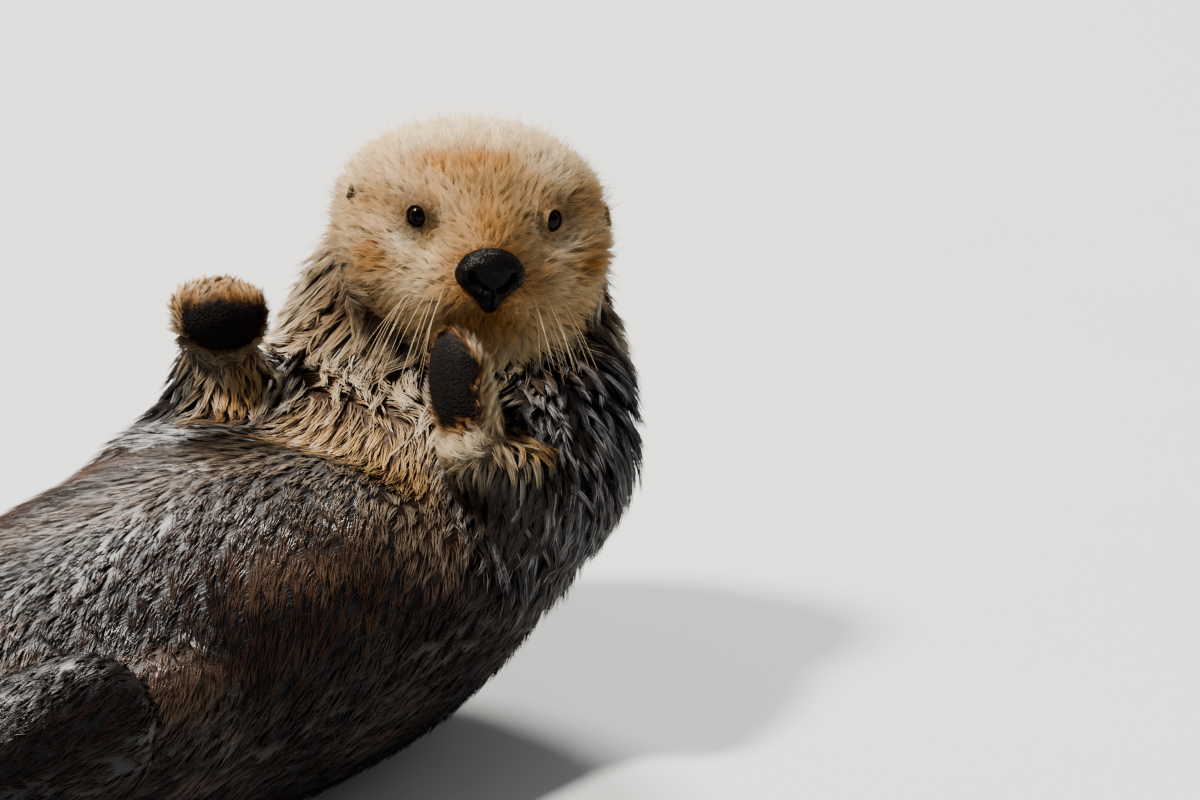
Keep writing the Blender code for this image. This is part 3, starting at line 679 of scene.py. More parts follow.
def build_skin():
    """The skin, with the fields that the coat and the materials read."""
    mesh = refined(flesh_surface(), list(EYES.values()), EYE_DETAIL, 3)
    mesh = refined(mesh, [Vector(from_head(LIPS))], LIP_DETAIL, 1)
    surface = Surface(mesh)
    owners = nearest_nodes(surface.points)
    masks, under_jaw = coat_regions(surface, owners)
    smooth_skin(surface, masks)
    normals = surface.normals()
    traits = trait_fields(masks)
    palms = palm_shares(surface, owners, normals)
    short = length_left(surface, palms)
    depth = traits["depth"] * (0.22 + 0.78 * short) * (1 - 0.6 * palms) + under_jaw * JAW_UNDERCUT
    for centre, reach, sunk in HOLLOWS:
        depth = depth + sunk * blob(in_head(surface.points), centre, reach)
    surface.points = surface.points - normals * surface.spread(depth, 4)[:, None]
    normals = surface.normals()
    sockets = {side: socket_frame(surface, normals, side) for side in SIDES}
    for side in SIDES:
        surface.points = open_lids(surface.points, sockets[side], side)
    lips = crease_mouth(surface, surface.normals())
    surface.points[:, 2] = np.maximum(surface.points[:, 2], SKIN_CLEARANCE)
    normals = surface.normals()
    root, tip = markings(surface, masks)
    # painted shade just under the edge of the face's fluff: the neck's hair darkened there
    tip, root = mix(tip, UMBER, under_jaw * 0.75), mix(root, PITCH, under_jaw * 0.8)
    root, tip = darken_paws(surface, masks, palms, root, tip)
    rim = np.ones(surface.count)
    for side in SIDES:
        rim = np.minimum(rim, smoothstep(1.04, 1.16, lid_ring(surface.points, sockets[side], side)))
    covered = inside_share(surface.points, "nose", NOSE_MARGIN)
    surface.points = surface.points - normals * surface.spread(covered, 2)[:, None] * NOSE_BED
    root, tip = mix(PITCH, root, rim), mix(PITCH, tip, rim)
    set_points(mesh, surface.points)
    mesh.update()
    fields = dict(
        traits, masks=masks, palms=palms, short=short, lips=lips, normals=normals, root=root, tip=tip,
        reach=traits["length"] * (0.24 + 0.76 * short), rise=traits["stand"] * (0.16 + 0.84 * short),
        frost=traits["frost"] + masks["neck"] * 0.7 * smoothstep(0.080, 0.110, surface.points[:, 0]),
        open=np.where(rim > 0.5, 1.0, 0.0) * (1 - covered), flow=lie_of_the_coat(surface, masks, normals),
    )
    return mesh, surface, fields, sockets


# ---------------------------------------------------------------- the coat
PATCH = 0.003  # each tuft's share of the bake map
LAYOUT_VOXEL = 0.008  # the faces of the plain skin that is laid out flat
MOST_FACES = 196_000  # in one piece of the coat
FLOOR_GAP = 0.0003  # hair is pressed flat this far over the floor
ROOT_DEPTH = 0.0012  # how deep in the skin a tuft starts


class Rooting:
    """Roots scattered evenly over part of the skin, from which any field can be read."""

    def __init__(self, surface, density, draw):
        shares = surface.areas() * density[surface.triangles].mean(1)
        count = int(shares.sum() * SHARE)
        steps = np.cumsum(shares)
        picks = (np.arange(count) + draw.random(count)) / max(count, 1) * steps[-1]
        self.faces = surface.triangles[np.minimum(np.searchsorted(steps, picks), len(steps) - 1)]
        first, second = np.sqrt(draw.random(count)), draw.random(count)
        self.weights = np.stack([1 - first, first * (1 - second), first * second], 1)
        self.count = count
        self.points = self.take(surface.points)

    def take(self, field):
        """A field's value at each root."""
        values = field[self.faces]
        weights = self.weights if values.ndim == 2 else self.weights[:, :, None]
        return (values * weights).sum(1)


class Unwrap:
    """A flat layout of a plain copy of the skin, which gives each tuft its place on the bake map."""

    def __init__(self, skin_mesh):
        copy = bpy.data.objects.new("layout", remeshed(skin_mesh.copy(), LAYOUT_VOXEL))
        bpy.context.scene.collection.objects.link(copy)
        bpy.context.view_layer.objects.active = copy
        copy.select_set(True)
        bpy.ops.object.mode_set(mode="EDIT")
        bpy.ops.mesh.select_all(action="SELECT")
        bpy.ops.uv.smart_project(angle_limit=math.radians(66), island_margin=0.004)
        bpy.ops.object.mode_set(mode="OBJECT")
        surface = Surface(copy.data)
        loops = read(copy.data.loop_triangles, "loops", 3, np.int32)
        self.corners = surface.points[surface.triangles]
        self.map = read(copy.data.uv_layers.active.data, "uv", 2)[loops]
        self.tree = BVHTree.FromPolygons(surface.points.tolist(), surface.triangles.tolist())
        bpy.data.objects.remove(copy)

    def of(self, points):
        """The place on the map of each point's nearest spot on the skin."""
        found = [self.tree.find_nearest(p) for p in points.tolist()]
        spots, faces = np.array([f[0] for f in found]), np.array([f[2] for f in found])
        a, b, c = (self.corners[faces, k] for k in range(3))
        facing = np.cross(b - a, c - a)
        size = np.maximum((facing**2).sum(1), 1e-18)
        u = (np.cross(c - b, spots - b) * facing).sum(1) / size
        v = (np.cross(a - c, spots - c) * facing).sum(1) / size
        weights = np.clip(np.stack([u, v, 1 - u - v], 1), 0, 1)[:, :, None]
        return (self.map[faces] * weights).sum(1)


def follow_skin(roots, surface, fields, tree, levels, draw, longer, wander):
    """From each root, a line of levels steps that keeps to the lie of the coat and lifts off the skin.
    Gives the points and the skin's normals under them."""
    length = roots.take(fields["reach"]) * draw.uniform(0.75, 1.2, roots.count) * longer
    stand = roots.take(fields["rise"]) * draw.uniform(0.55, 1.25, roots.count) * longer
    normals, flow = unit(roots.take(fields["normals"])), roots.take(fields["flow"])
    turn = draw.normal(0, wander, roots.count)[:, None]
    spots, facing, points = roots.points, normals, [roots.points - normals * ROOT_DEPTH]
    seen = [normals]
    for level in range(1, levels + 1):
        swung = unit(flow + np.cross(facing, flow) * turn)
        ahead = spots + swung * (length / levels)[:, None]
        found = [tree.find_nearest(p) for p in ahead.tolist()]
        spots = np.array([f[0] for f in found])
        corners = surface.triangles[[f[2] for f in found]]
        facing = unit(fields["normals"][corners].sum(1))
        flow = unit(fields["flow"][corners].sum(1))
        lift = (level / levels) ** 0.8
        points.append(spots + facing * (stand * lift)[:, None])
        seen.append(facing)
    return np.stack(points, 1), np.stack(seen, 1)


def along(lines, shares):
    """The point at each share of the way along each line: lines is (n, steps + 1, 3), shares (n, k)."""
    steps = lines.shape[1] - 1
    at = np.clip(shares * steps, 0, steps - 1e-6)
    low = at.astype(int)
    rows = np.arange(len(lines))[:, None]
    part = (at - low)[:, :, None]
    return lines[rows, low] * (1 - part) + lines[rows, low + 1] * part


def clumped(roots, fields, surface, tree, levels, draw, longer, wander):
    """Strand lines drawn together towards a leader in the middle of each clump."""
    spacing = fields["spacing"]
    leaders = Rooting(surface, (fields["density"] > 0) / spacing**2 / SHARE, draw)
    lines, facing = follow_skin(leaders, surface, fields, tree, max(levels, 2), draw, longer, wander)
    finder = KDTree(leaders.count)
    for number, point in enumerate(leaders.points.tolist()):
        finder.insert(point, number)
    finder.balance()
    own = np.array([finder.find(p)[1] for p in roots.points.tolist()])
    reach = draw.uniform(0.72, 1.04, roots.count)[:, None] * np.linspace(0, 1, levels + 1)[None, :]
    reach[:, 0] = 0
    paths, normals = along(lines[own], reach), along(facing[own], reach)
    apart = roots.points - leaders.points[own]
    pull = roots.take(fields["clump"])[:, None] * np.linspace(0, 1, levels + 1)[None, :] ** 0.7
    pull = pull * draw.uniform(0.82, 1.0, roots.count)[:, None]
    paths = paths + apart[:, None, :] * (1 - pull)[:, :, None]
    stray = draw.normal(0, 1, (roots.count, 3)) * (roots.take(fields["reach"]) * 0.035)[:, None]
    paths = paths + stray[:, None, :] * np.linspace(0, 1, levels + 1)[None, :, None]
    core = np.exp(-((np.linalg.norm(apart, axis=1) / (roots.take(fields["spacing"]) * 0.42)) ** 2))
    return paths, unit(normals), own, core


def tuft_faces(levels):
    """The triangles of one tuft: a three-sided spike in rings, ending in a point."""
    faces = []
    for level in range(levels):
        for k in range(3):
            j, low, high = (k + 1) % 3, 3 * level, 3 * (level + 1)
            if level < levels - 1:
                faces += [(low + k, high + j, low + j), (low + k, high + k, high + j)]
            else:
                faces.append((low + k, high, low + j))
    return np.array(faces)


def coat_mesh(name, points, faces, uv, colours, shading):
    """Many tufts as one mesh: its arrays are (tufts, corners, values), its faces each triangle's corners."""
    mesh = bpy.data.meshes.new(name)
    mesh.vertices.add(points.shape[0] * points.shape[1])
    set_points(mesh, points)
    mesh.loops.add(faces.size)
    mesh.loops.foreach_set("vertex_index", faces.astype(np.int32).ravel())
    mesh.polygons.add(len(faces))
    mesh.polygons.foreach_set("loop_start", np.arange(0, faces.size, 3, dtype=np.int32))
    mesh.uv_layers.new(name="OFBake")
    laid_out = np.clip(uv.reshape(-1, 2)[faces.ravel()], 0, 1)
    mesh.uv_layers["OFBake"].data.foreach_set("uv", laid_out.astype(np.float32).ravel())
    add_colours(mesh, "coat_colour", np.clip(colours, 0, 1).reshape(-1, 3))
    mesh.update()
    mesh.shade_smooth()
    mesh.normals_split_custom_set_from_vertices(shading.reshape(-1, 3).astype(np.float32))
    return mesh


WAISTS = {1: (1.0,), 2: (1.0, 0.72), 3: (0.85, 1.0, 0.62)}  # a tuft's thickness at each ring


def tufts(name, slot, material, paths, normals, width, flat, root, tip, fade, layout, draw):
    """Builds the tufts along the paths as pieces of less than MOST_FACES triangles each. The higher
    fade is, the nearer to its end each turns from its root's colour to its tip's."""
    levels = paths.shape[1] - 1
    template = tuft_faces(levels)
    order = np.argsort(paths[:, 0, 1] + 0.35 * paths[:, 0, 0])
    most = MOST_FACES // len(template)
    batches = np.array_split(order, max(1, math.ceil(len(order) / most)))
    for number, batch in enumerate(batches):
        lines, up = paths[batch], normals[batch]
        size, count = width[batch], len(batch)
        run = unit(np.concatenate([lines[:, 1:] - lines[:, :-1]], 1))
        side = unit(np.cross(run, up[:, :-1]))
        rise = unit(np.cross(side, run))
        thick = size[:, None, None] * np.array(WAISTS[levels])[None, :, None]
        rings = np.stack([-side * thick, side * thick, rise * thick * flat], 2)
        points = np.concatenate(
            [(lines[:, :-1, None, :] + rings).reshape(count, -1, 3), lines[:, -1:, :]], 1
        )
        points[:, :, 2] = np.maximum(points[:, :, 2], FLOOR_GAP)
        radial = np.stack([-side, side, rise], 2) * 0.55 + up[:, :-1, None, :]
        shading = unit(np.concatenate([radial.reshape(count, -1, 3), (up[:, -1:] + run[:, -1:] * 0.3)], 1))
        corners = 3 * levels + 1
        share = np.append(np.repeat(np.arange(levels) / levels, 3), 1.0)
        tone = draw.uniform(0.86, 1.14, count)[:, None, None]
        ramp = (share[None, :] ** fade[batch][:, None])[:, :, None]
        colours = (root[batch][:, None, :] * (1 - ramp) + tip[batch][:, None, :] * ramp) * tone
        spots = layout.of(lines[:, 0])
        across = np.append(np.tile((0.0, 1.0, 0.5), levels), 0.5)
        uv = spots[:, None, :] + (np.stack([across, share], 1)[None] - 0.5) * PATCH
        faces = (template[None] + (np.arange(count) * corners)[:, None, None]).reshape(-1, 3)
        mesh = coat_mesh(f"{name}_{number + 1}", points, faces, uv, colours, shading)
        shown(mesh, slot, material)


# Each coat: its tufts to the square metre of each region, their rings, what thickens it in places, how
# much longer and finer they are than the region's, how deep for their width, and how they stray.
Coat = namedtuple("Coat", "name slot fur regions levels thicker longer finer flat wander seed")
EAR_CLEARING = 0.009  # fewer tufts grow this near an ear, where they would cross it


def grow_coats(surface, fields, layout, furs):
    """Grows every coat on the skin, tuft colours and all."""
    tree = BVHTree.FromPolygons(surface.points.tolist(), surface.triangles.tolist())
    masks, points = fields["masks"], surface.points
    clear = (1 - 0.5 * smoothstep(0.45, 0.8, fields["palms"])) * fields["open"]
    for side in SIDES:
        away = np.linalg.norm(points - np.array(middle(f"ear_{side}")), axis=1)
        clear = clear * (1 - 0.75 * np.exp(-((away / EAR_CLEARING) ** 4)))
    bulk = 1 + 0.8 * smoothstep(-0.10, 0.10, points[:, 1]) * smoothstep(0.05, 0.12, points[:, 2])
    ruff = {"neck": 2.5e5, "upper_arm": 2.5e5, "forearm": 3.4e5}
    body = {"trunk": 7.6e4, "tail": 7.6e4, "hind_leg": 7.6e4}
    coats = (
        Coat("coat_head", "face", "dry_fur", {"head": 2.1e6}, 1, 1, 1.0, 1.0, 0.9, 0.55, 11),
        Coat("guard_hair_head", "face", "dry_fur", {"head": 1.2e5}, 2, 1, 1.7, 0.70, 0.9, 0.6, 12),
        Coat("coat_neck", "ruff", "wet_fur", ruff, 3, 1, 1.0, 1.0, 0.8, 0.30, 13),
        Coat("coat_body", "pelt", "slick_fur", body, 2, bulk, 1.0, 1.0, 0.35, 0.10, 14),
        Coat("coat_paws", "paw", "paw_fur", {"forepaw": 1.5e6}, 1, 1, 1.0, 1.0, 0.9, 0.5, 15),
        Coat("coat_feet", "flipper", "slick_fur", {"hind_flipper": 2.2e5}, 1, 1, 1.0, 1.0, 0.5, 0.2, 16),
    )
    for coat in coats:
        draw = np.random.default_rng(coat.seed)
        density = sum(masks[region] * amount for region, amount in coat.regions.items())
        density = density * sum(masks[region] for region in coat.regions) ** 0.5
        density = density * coat.thicker * clear
        roots = Rooting(surface, density, draw)
        local = dict(fields, density=density)
        paths, normals, own, core = clumped(
            roots, local, surface, tree, coat.levels, draw, coat.longer, coat.wander
        )
        uneven = 0.10 + 0.10 * roots.take(fields["wet"])
        shade = 1 + draw.uniform(-1, 1, own.max() + 1)[own][:, None] * uneven[:, None]
        width = roots.take(fields["width"]) * coat.finer * draw.uniform(0.35, 0.6, roots.count)
        width = width * (0.55 + 0.45 * roots.take(fields["short"]))
        root, tip = roots.take(fields["root"]), roots.take(fields["tip"]) * shade
        silver = draw.random(own.max() + 1)[own] < roots.take(fields["frost"])
        tip = mix(tip, STEEL, silver * core * draw.uniform(0.3, 1.0, roots.count))
        fade = np.where(silver, 0.55, 0.75 + 0.65 * roots.take(fields["wet"]))
        tufts(
            coat.name, coat.slot, furs[coat.fur], paths, normals, width, coat.flat, root, tip, fade,
            layout, draw,
        )


# ---------------------------------------------------------------- finishes
def links(material_or_group):
    """How to add a node to a material or group, and how to link two sockets in it."""
    tree = getattr(material_or_group, "node_tree", material_or_group)

    def add(kind, **settings):
        node = tree.nodes.new(f"ShaderNode{kind}")
        for key, value in settings.items():
            if key in node.bl_rna.properties:
                setattr(node, key, value)
            else:
                node.inputs[key.replace("_", " ")].default_value = value
        return node

    return add, tree.links.new


def new_group(name, inputs, outputs):
    """A shader node group with its sockets: inputs are (name, kind, default), outputs (name, kind)."""
    group = bpy.data.node_groups.new(name, "ShaderNodeTree")
    for label, kind, default in inputs:
        socket = group.interface.new_socket(label, in_out="INPUT", socket_type=f"NodeSocket{kind}")
        socket.default_value = default
    for label, kind in outputs:
        group.interface.new_socket(label, in_out="OUTPUT", socket_type=f"NodeSocket{kind}")
    add, link = links(group)
    return group, add, link, group.nodes.new("NodeGroupInput"), group.nodes.new("NodeGroupOutput")


def tone_group():
    """Uneven tone over a coat: patches of lighter and darker hair, and how that changes the gloss."""
    group, add, link, given, out = new_group(
        "Coat Tone",
        [("Colour", "Color", (0.5, 0.5, 0.5, 1)), ("Patch Scale", "Float", 60.0),
         ("Strength", "Float", 0.3), ("Gloss", "Float", 0.5)],
        [("Colour", "Color"), ("Roughness", "Float"), ("Mask", "Float")],
    )
    place = add("TexCoord")
    patches = add("TexNoise", Detail=4.0, Roughness=0.6)
    link(place.outputs["Object"], patches.inputs["Vector"])
    link(given.outputs["Patch Scale"], patches.inputs["Scale"])
    shade = add("MapRange", From_Min=0.3, From_Max=0.7, To_Min=-1.0, To_Max=1.0)
    link(patches.outputs["Fac"], shade.inputs["Value"])
    amount = add("Math", operation="MULTIPLY_ADD")
    amount.inputs[2].default_value = 1.0
    link(shade.outputs["Result"], amount.inputs[0])
    link(given.outputs["Strength"], amount.inputs[1])
    tinted = add("VectorMath", operation="SCALE")
    link(given.outputs["Colour"], tinted.inputs[0])
    link(amount.outputs["Value"], tinted.inputs["Scale"])
    rough = add("MapRange", From_Min=-1.0, From_Max=1.0)
    link(shade.outputs["Result"], rough.inputs["Value"])
    low, high = add("Math", operation="SUBTRACT"), add("Math", operation="ADD")
    for node in (low, high):
        node.inputs[1].default_value = 0.10
        link(given.outputs["Gloss"], node.inputs[0])
    link(low.outputs["Value"], rough.inputs["To Min"])
    link(high.outputs["Value"], rough.inputs["To Max"])
    link(tinted.outputs["Vector"], out.inputs["Colour"])
    link(rough.outputs["Result"], out.inputs["Roughness"])
    link(patches.outputs["Fac"], out.inputs["Mask"])
    return group


def streak_group():
    """Fine combed relief, long in one direction, as hair lies over skin."""
    group, add, link, given, out = new_group(
        "Combed Relief",
        [("Stretch", "Vector", (1.0, 0.1, 1.0)), ("Scale", "Float", 500.0)],
        [("Height", "Float"), ("Mask", "Float")],
    )
    place, drawn = add("TexCoord"), add("VectorMath", operation="MULTIPLY")
    link(place.outputs["Object"], drawn.inputs[0])
    link(given.outputs["Stretch"], drawn.inputs[1])
    fine = add("TexNoise", Detail=3.0, Roughness=0.55, Distortion=0.4)
    link(drawn.outputs["Vector"], fine.inputs["Vector"])
    link(given.outputs["Scale"], fine.inputs["Scale"])
    link(fine.outputs["Fac"], out.inputs["Height"])
    mask = add("MapRange", From_Min=0.42, From_Max=0.62)
    link(fine.outputs["Fac"], mask.inputs["Value"])
    link(mask.outputs["Result"], out.inputs["Mask"])
    return group


def pebble_group():
    """The grain of bare hide, as on a nose or a paw pad."""
    group, add, link, given, out = new_group(
        "Pebbled Hide", [("Scale", "Float", 700.0)], [("Height", "Float"), ("Crease", "Float")]
    )
    place = add("TexCoord")
    cells = add("TexVoronoi", feature="SMOOTH_F1", Smoothness=0.6, Randomness=1.0)
    link(place.outputs["Object"], cells.inputs["Vector"])
    link(given.outputs["Scale"], cells.inputs["Scale"])
    grain = add("MapRange", From_Min=0.1, From_Max=0.75, To_Min=1.0, To_Max=0.0)
    link(cells.outputs["Distance"], grain.inputs["Value"])
    link(grain.outputs["Result"], out.inputs["Height"])
    # the creases between the grains, where painted shade goes
    crease = add("MapRange", From_Min=0.0, From_Max=0.4, To_Min=1.0, To_Max=0.0)
    link(grain.outputs["Result"], crease.inputs["Value"])
    link(crease.outputs["Result"], out.inputs["Crease"])
    return group


def new_material(name, **settings):
    """A material with a Principled shader whose plain values are set on its own sockets."""
    material = bpy.data.materials.new(name)
    material.use_nodes = True
    shader = material.node_tree.nodes["Principled BSDF"]
    for key, value in settings.items():
        shader.inputs[key.replace("_", " ")].default_value = value
    add, link = links(material)
    return material, shader, add, link


def use(add, group, **values):
    """Adds a node group with these values on its inputs."""
    node = add("Group")
    node.node_tree = group
    for key, value in values.items():
        node.inputs[key.replace("_", " ")].default_value = value
    return node


def fur_material(name, tone, gloss, strength, glow, patches=90.0, wet=0.0, **settings):
    """A coat's hair: its own colours, uneven tone, patches of water, and light let through from behind."""
    material, shader, add, link = new_material(name, **settings)
    colour = add("Attribute", attribute_name="coat_colour")
    toned = use(add, tone, Patch_Scale=patches, Strength=strength, Gloss=gloss)
    link(colour.outputs["Color"], toned.inputs["Colour"])
    link(toned.outputs["Colour"], shader.inputs["Base Color"])
    link(toned.outputs["Roughness"], shader.inputs["Roughness"])
    if wet:
        film = add("MapRange", From_Min=0.50, From_Max=0.62, To_Max=wet)
        link(toned.outputs["Mask"], film.inputs["Value"])
        link(film.outputs["Result"], shader.inputs["Coat Weight"])
    if glow:
        through, blend = add("BsdfTranslucent"), add("MixShader")
        blend.inputs["Fac"].default_value = glow
        link(toned.outputs["Colour"], through.inputs["Color"])
        link(shader.outputs["BSDF"], blend.inputs[1])
        link(through.outputs["BSDF"], blend.inputs[2])
        link(blend.outputs["Shader"], material.node_tree.nodes["Material Output"].inputs["Surface"])
    return material


def skin_material(tone, streaks, pebbles):
    """Skin under the coat: the coat's colours, darkened as painted shade under it, combed where furred and
    pebbled on the pads.
    """
    material, shader, add, link = new_material("skin", Coat_Roughness=0.22, Specular_IOR_Level=0.25)
    colour, pads = add("Attribute", attribute_name="coat_colour"), add("Attribute", attribute_name="pads")
    wet = add("Attribute", attribute_name="damp")
    toned = use(add, tone, Patch_Scale=45.0, Strength=0.25, Gloss=0.5)
    combed = use(add, streaks, Stretch=(1.0, 0.09, 1.0), Scale=430.0)
    hide = use(add, pebbles, Scale=620.0)
    link(colour.outputs["Color"], toned.inputs["Colour"])
    darker = add("Mix", data_type="RGBA", blend_type="MULTIPLY")
    darker.inputs[7].default_value = (0.45, 0.43, 0.42, 1)
    link(combed.outputs["Mask"], darker.inputs[0])
    link(toned.outputs["Colour"], darker.inputs[6])
    padded = add("Mix", data_type="RGBA")
    padded.inputs[7].default_value = (*PAD, 1)
    link(pads.outputs["Fac"], padded.inputs[0])
    link(darker.outputs[2], padded.inputs[6])
    link(padded.outputs[2], shader.inputs["Base Color"])
    gloss = add("MapRange", To_Min=0.70, To_Max=0.45)
    link(wet.outputs["Fac"], gloss.inputs["Value"])
    gloss_pad = add("Mix", data_type="FLOAT")
    gloss_pad.inputs[3].default_value = 0.85
    link(pads.outputs["Fac"], gloss_pad.inputs[0])
    link(gloss.outputs["Result"], gloss_pad.inputs[2])
    link(gloss_pad.outputs[0], shader.inputs["Roughness"])
    coat = add("Math", operation="MULTIPLY")
    coat.inputs[1].default_value = 0.12
    link(wet.outputs["Fac"], coat.inputs[0])
    link(coat.outputs["Value"], shader.inputs["Coat Weight"])
    height = add("Mix", data_type="FLOAT")
    link(pads.outputs["Fac"], height.inputs[0])
    link(combed.outputs["Height"], height.inputs[2])
    link(hide.outputs["Height"], height.inputs[3])
    bump = add("Bump", Strength=0.7, Distance=0.0016)
    link(height.outputs[0], bump.inputs["Height"])
    link(bump.outputs["Normal"], shader.inputs["Normal"])
    return material


def hide_material(name, pebbles, colour, crease, scale, depth, **settings):
    """Bare leathery hide, with painted shade in the creases of its grain and in its hollows."""
    material, shader, add, link = new_material(name, **settings)
    hide = use(add, pebbles, Scale=scale)
    hollow = add("Attribute", attribute_name="hollow")
    shade = add("Mix", data_type="RGBA")
    shade.inputs[6].default_value, shade.inputs[7].default_value = (*colour, 1), (*crease, 1)
    # painted shade in the grain's creases and in the hollows
    deep = add("Math", operation="MAXIMUM")
    link(hide.outputs["Crease"], deep.inputs[0])
    link(hollow.outputs["Fac"], deep.inputs[1])
    link(deep.outputs["Value"], shade.inputs[0])
    link(shade.outputs[2], shader.inputs["Base Color"])
    rough = add("MapRange", To_Min=0.34, To_Max=0.7)
    link(deep.outputs["Value"], rough.inputs["Value"])
    link(rough.outputs["Result"], shader.inputs["Roughness"])
    bump = add("Bump", Strength=0.6, Distance=depth)
    link(hide.outputs["Height"], bump.inputs["Height"])
    link(bump.outputs["Normal"], shader.inputs["Normal"])
    return material


def eye_material():
    """A dark brown iris round a black pupil, under a wet clear front."""
    material, shader, add, link = new_material(
        "eye", Roughness=0.35, Coat_Weight=0.22, Coat_Roughness=0.02, Specular_IOR_Level=0.04
    )
    gaze, spokes = add("Attribute", attribute_name="gaze"), add("Attribute", attribute_name="spoke")
    rings = add("ValToRGB")
    stops = rings.color_ramp.elements
    stops[0].position, stops[0].color = 0.0, (0.020, 0.012, 0.009, 1)
    stops[1].position, stops[1].color = 1.0, (0.001, 0.001, 0.001, 1)
    for share, colour in (
        (0.60, (0.012, 0.007, 0.005)), (0.72, (0.006, 0.003, 0.002)), (0.79, (0.018, 0.008, 0.004)),
        (0.86, (0.026, 0.011, 0.005)), (0.89, (0.008, 0.004, 0.003)), (0.905, (0.001, 0.001, 0.001)),
    ):
        stops.new(share).color = (*colour, 1)
    link(gaze.outputs["Fac"], rings.inputs["Fac"])
    fibres = add("Mix", data_type="RGBA", blend_type="MULTIPLY")
    fibres.inputs[0].default_value = 1.0
    shade = add("MapRange", To_Min=0.55, To_Max=1.25)
    link(spokes.outputs["Fac"], shade.inputs["Value"])
    link(rings.outputs["Color"], fibres.inputs[6])
    link(shade.outputs["Result"], fibres.inputs[7])
    link(fibres.outputs[2], shader.inputs["Base Color"])
    return material


def strand_material(name, root, tip, **settings):
    """Whiskers and claws: one colour at the root running into another at the tip."""
    material, shader, add, link = new_material(name, **settings)
    far = add("Attribute", attribute_name="far")
    place, grain = add("TexCoord"), add("TexNoise", Scale=900.0, Detail=2.0)
    link(place.outputs["Object"], grain.inputs["Vector"])
    shade = add("Mix", data_type="RGBA")
    shade.inputs[6].default_value, shade.inputs[7].default_value = (*root, 1), (*tip, 1)
    link(far.outputs["Fac"], shade.inputs[0])
    link(shade.outputs[2], shader.inputs["Base Color"])
    rough = add("MapRange", To_Min=0.3, To_Max=0.55)
    link(grain.outputs["Fac"], rough.inputs["Value"])
    link(rough.outputs["Result"], shader.inputs["Roughness"])
    return material


def floor_material():
    """A pale plain floor, barely uneven in tone."""
    material, shader, add, link = new_material("studio_floor", Roughness=0.6, Specular_IOR_Level=0.2)
    place, wash = add("TexCoord"), add("TexNoise", Scale=1.6, Detail=3.0)
    link(place.outputs["Object"], wash.inputs["Vector"])
    shade = add("Mix", data_type="RGBA")
    shade.inputs[6].default_value = (0.50, 0.515, 0.52, 1)
    shade.inputs[7].default_value = (0.55, 0.56, 0.565, 1)
    link(wash.outputs["Fac"], shade.inputs[0])
    link(shade.outputs[2], shader.inputs["Base Color"])
    return material


# ---------------------------------------------------------------- eyes, nose and ears
def eyeball(side, socket, material):
    """An eyeball whose pole looks out of the socket, its front bulging a little."""
    work = bmesh.new()
    bmesh.ops.create_uvsphere(work, u_segments=56, v_segments=40, radius=EYE_RADIUS)
    mesh = as_mesh(work, f"eye_{side}_ball")
    points = read(mesh.vertices, "co", 3).astype(float)
    gaze = points[:, 2] / EYE_RADIUS
    points *= (1 + 0.015 * smoothstep(0.70, 0.98, gaze))[:, None]
    add_values(mesh, "gaze", gaze)
    turn = np.arctan2(points[:, 1], points[:, 0])
    add_values(mesh, "spoke", 0.5 + 0.3 * np.sin(turn * 23) + 0.2 * np.sin(turn * 41 + gaze * 9))
    out = socket.to_3x3() @ Vector((0, 0, 1))
    look = (out * 0.75 - HEAD.to_3x3() @ Vector((0, 1, 0)) * 0.45).normalized()
    turned = look.to_track_quat("Z", "Y").to_matrix()
    set_points(mesh, points @ np.array(turned).T + np.array(socket.translation))
    shown_for(mesh, f"eye_{side}_ball", "eye", material, f"eye_{side}")


def resculpted(node, voxel, rounds):
    """A node's solid as a fine even mesh with its facets smoothed away."""
    mesh = remeshed(as_mesh(welded(node), node), voxel)
    surface = Surface(mesh)
    surface.points = surface.spread(surface.points, rounds)
    return mesh, surface


NOSTRIL = ((0.0045, -0.0060), (0.0080, -0.0045), (0.0120, -0.0010), (0.0135, 0.0030))  # x, z from its middle
PHILTRUM = ((0.0, -0.0075), (0.0, -0.0200))


def nose_pad(material):
    """The nose: comma-shaped nostrils, and a groove down from between them."""
    mesh, surface = resculpted("nose", 0.0009, 10)
    normals = surface.normals()
    flat = (in_head(surface.points) - in_head(np.array(middle("nose"))[None]))[:, [0, 2]]
    front = smoothstep(0.1, 0.5, -(normals @ HEAD_AXES[:, 1]))
    nostril = np.exp(-((to_line(np.abs(flat) * (1, 0) + flat * (0, 1), NOSTRIL) / 0.0019) ** 2)) * front
    groove = np.exp(-((to_line(flat, PHILTRUM) / 0.0013) ** 2)) * front
    surface.points = surface.points - normals * (nostril * 0.0048 + groove * 0.0020)[:, None]
    set_points(mesh, surface.points)
    # the nostrils and the groove, which the leather darkens as painted shade
    add_values(mesh, "hollow", np.clip(nostril * 1.3 + groove * 0.5, 0, 1))
    shown_for(mesh, "nose_pad", "nose", material, "nose")


# The hollow of an ear: half its width, half its height and its depth, and how far above the ear's middle
# it lies.
EAR_HOLLOW_WIDE, EAR_HOLLOW_TALL, EAR_HOLLOW_DEEP = 0.0030, 0.0061, 0.0028
EAR_HOLLOW_RISE = 0.0007


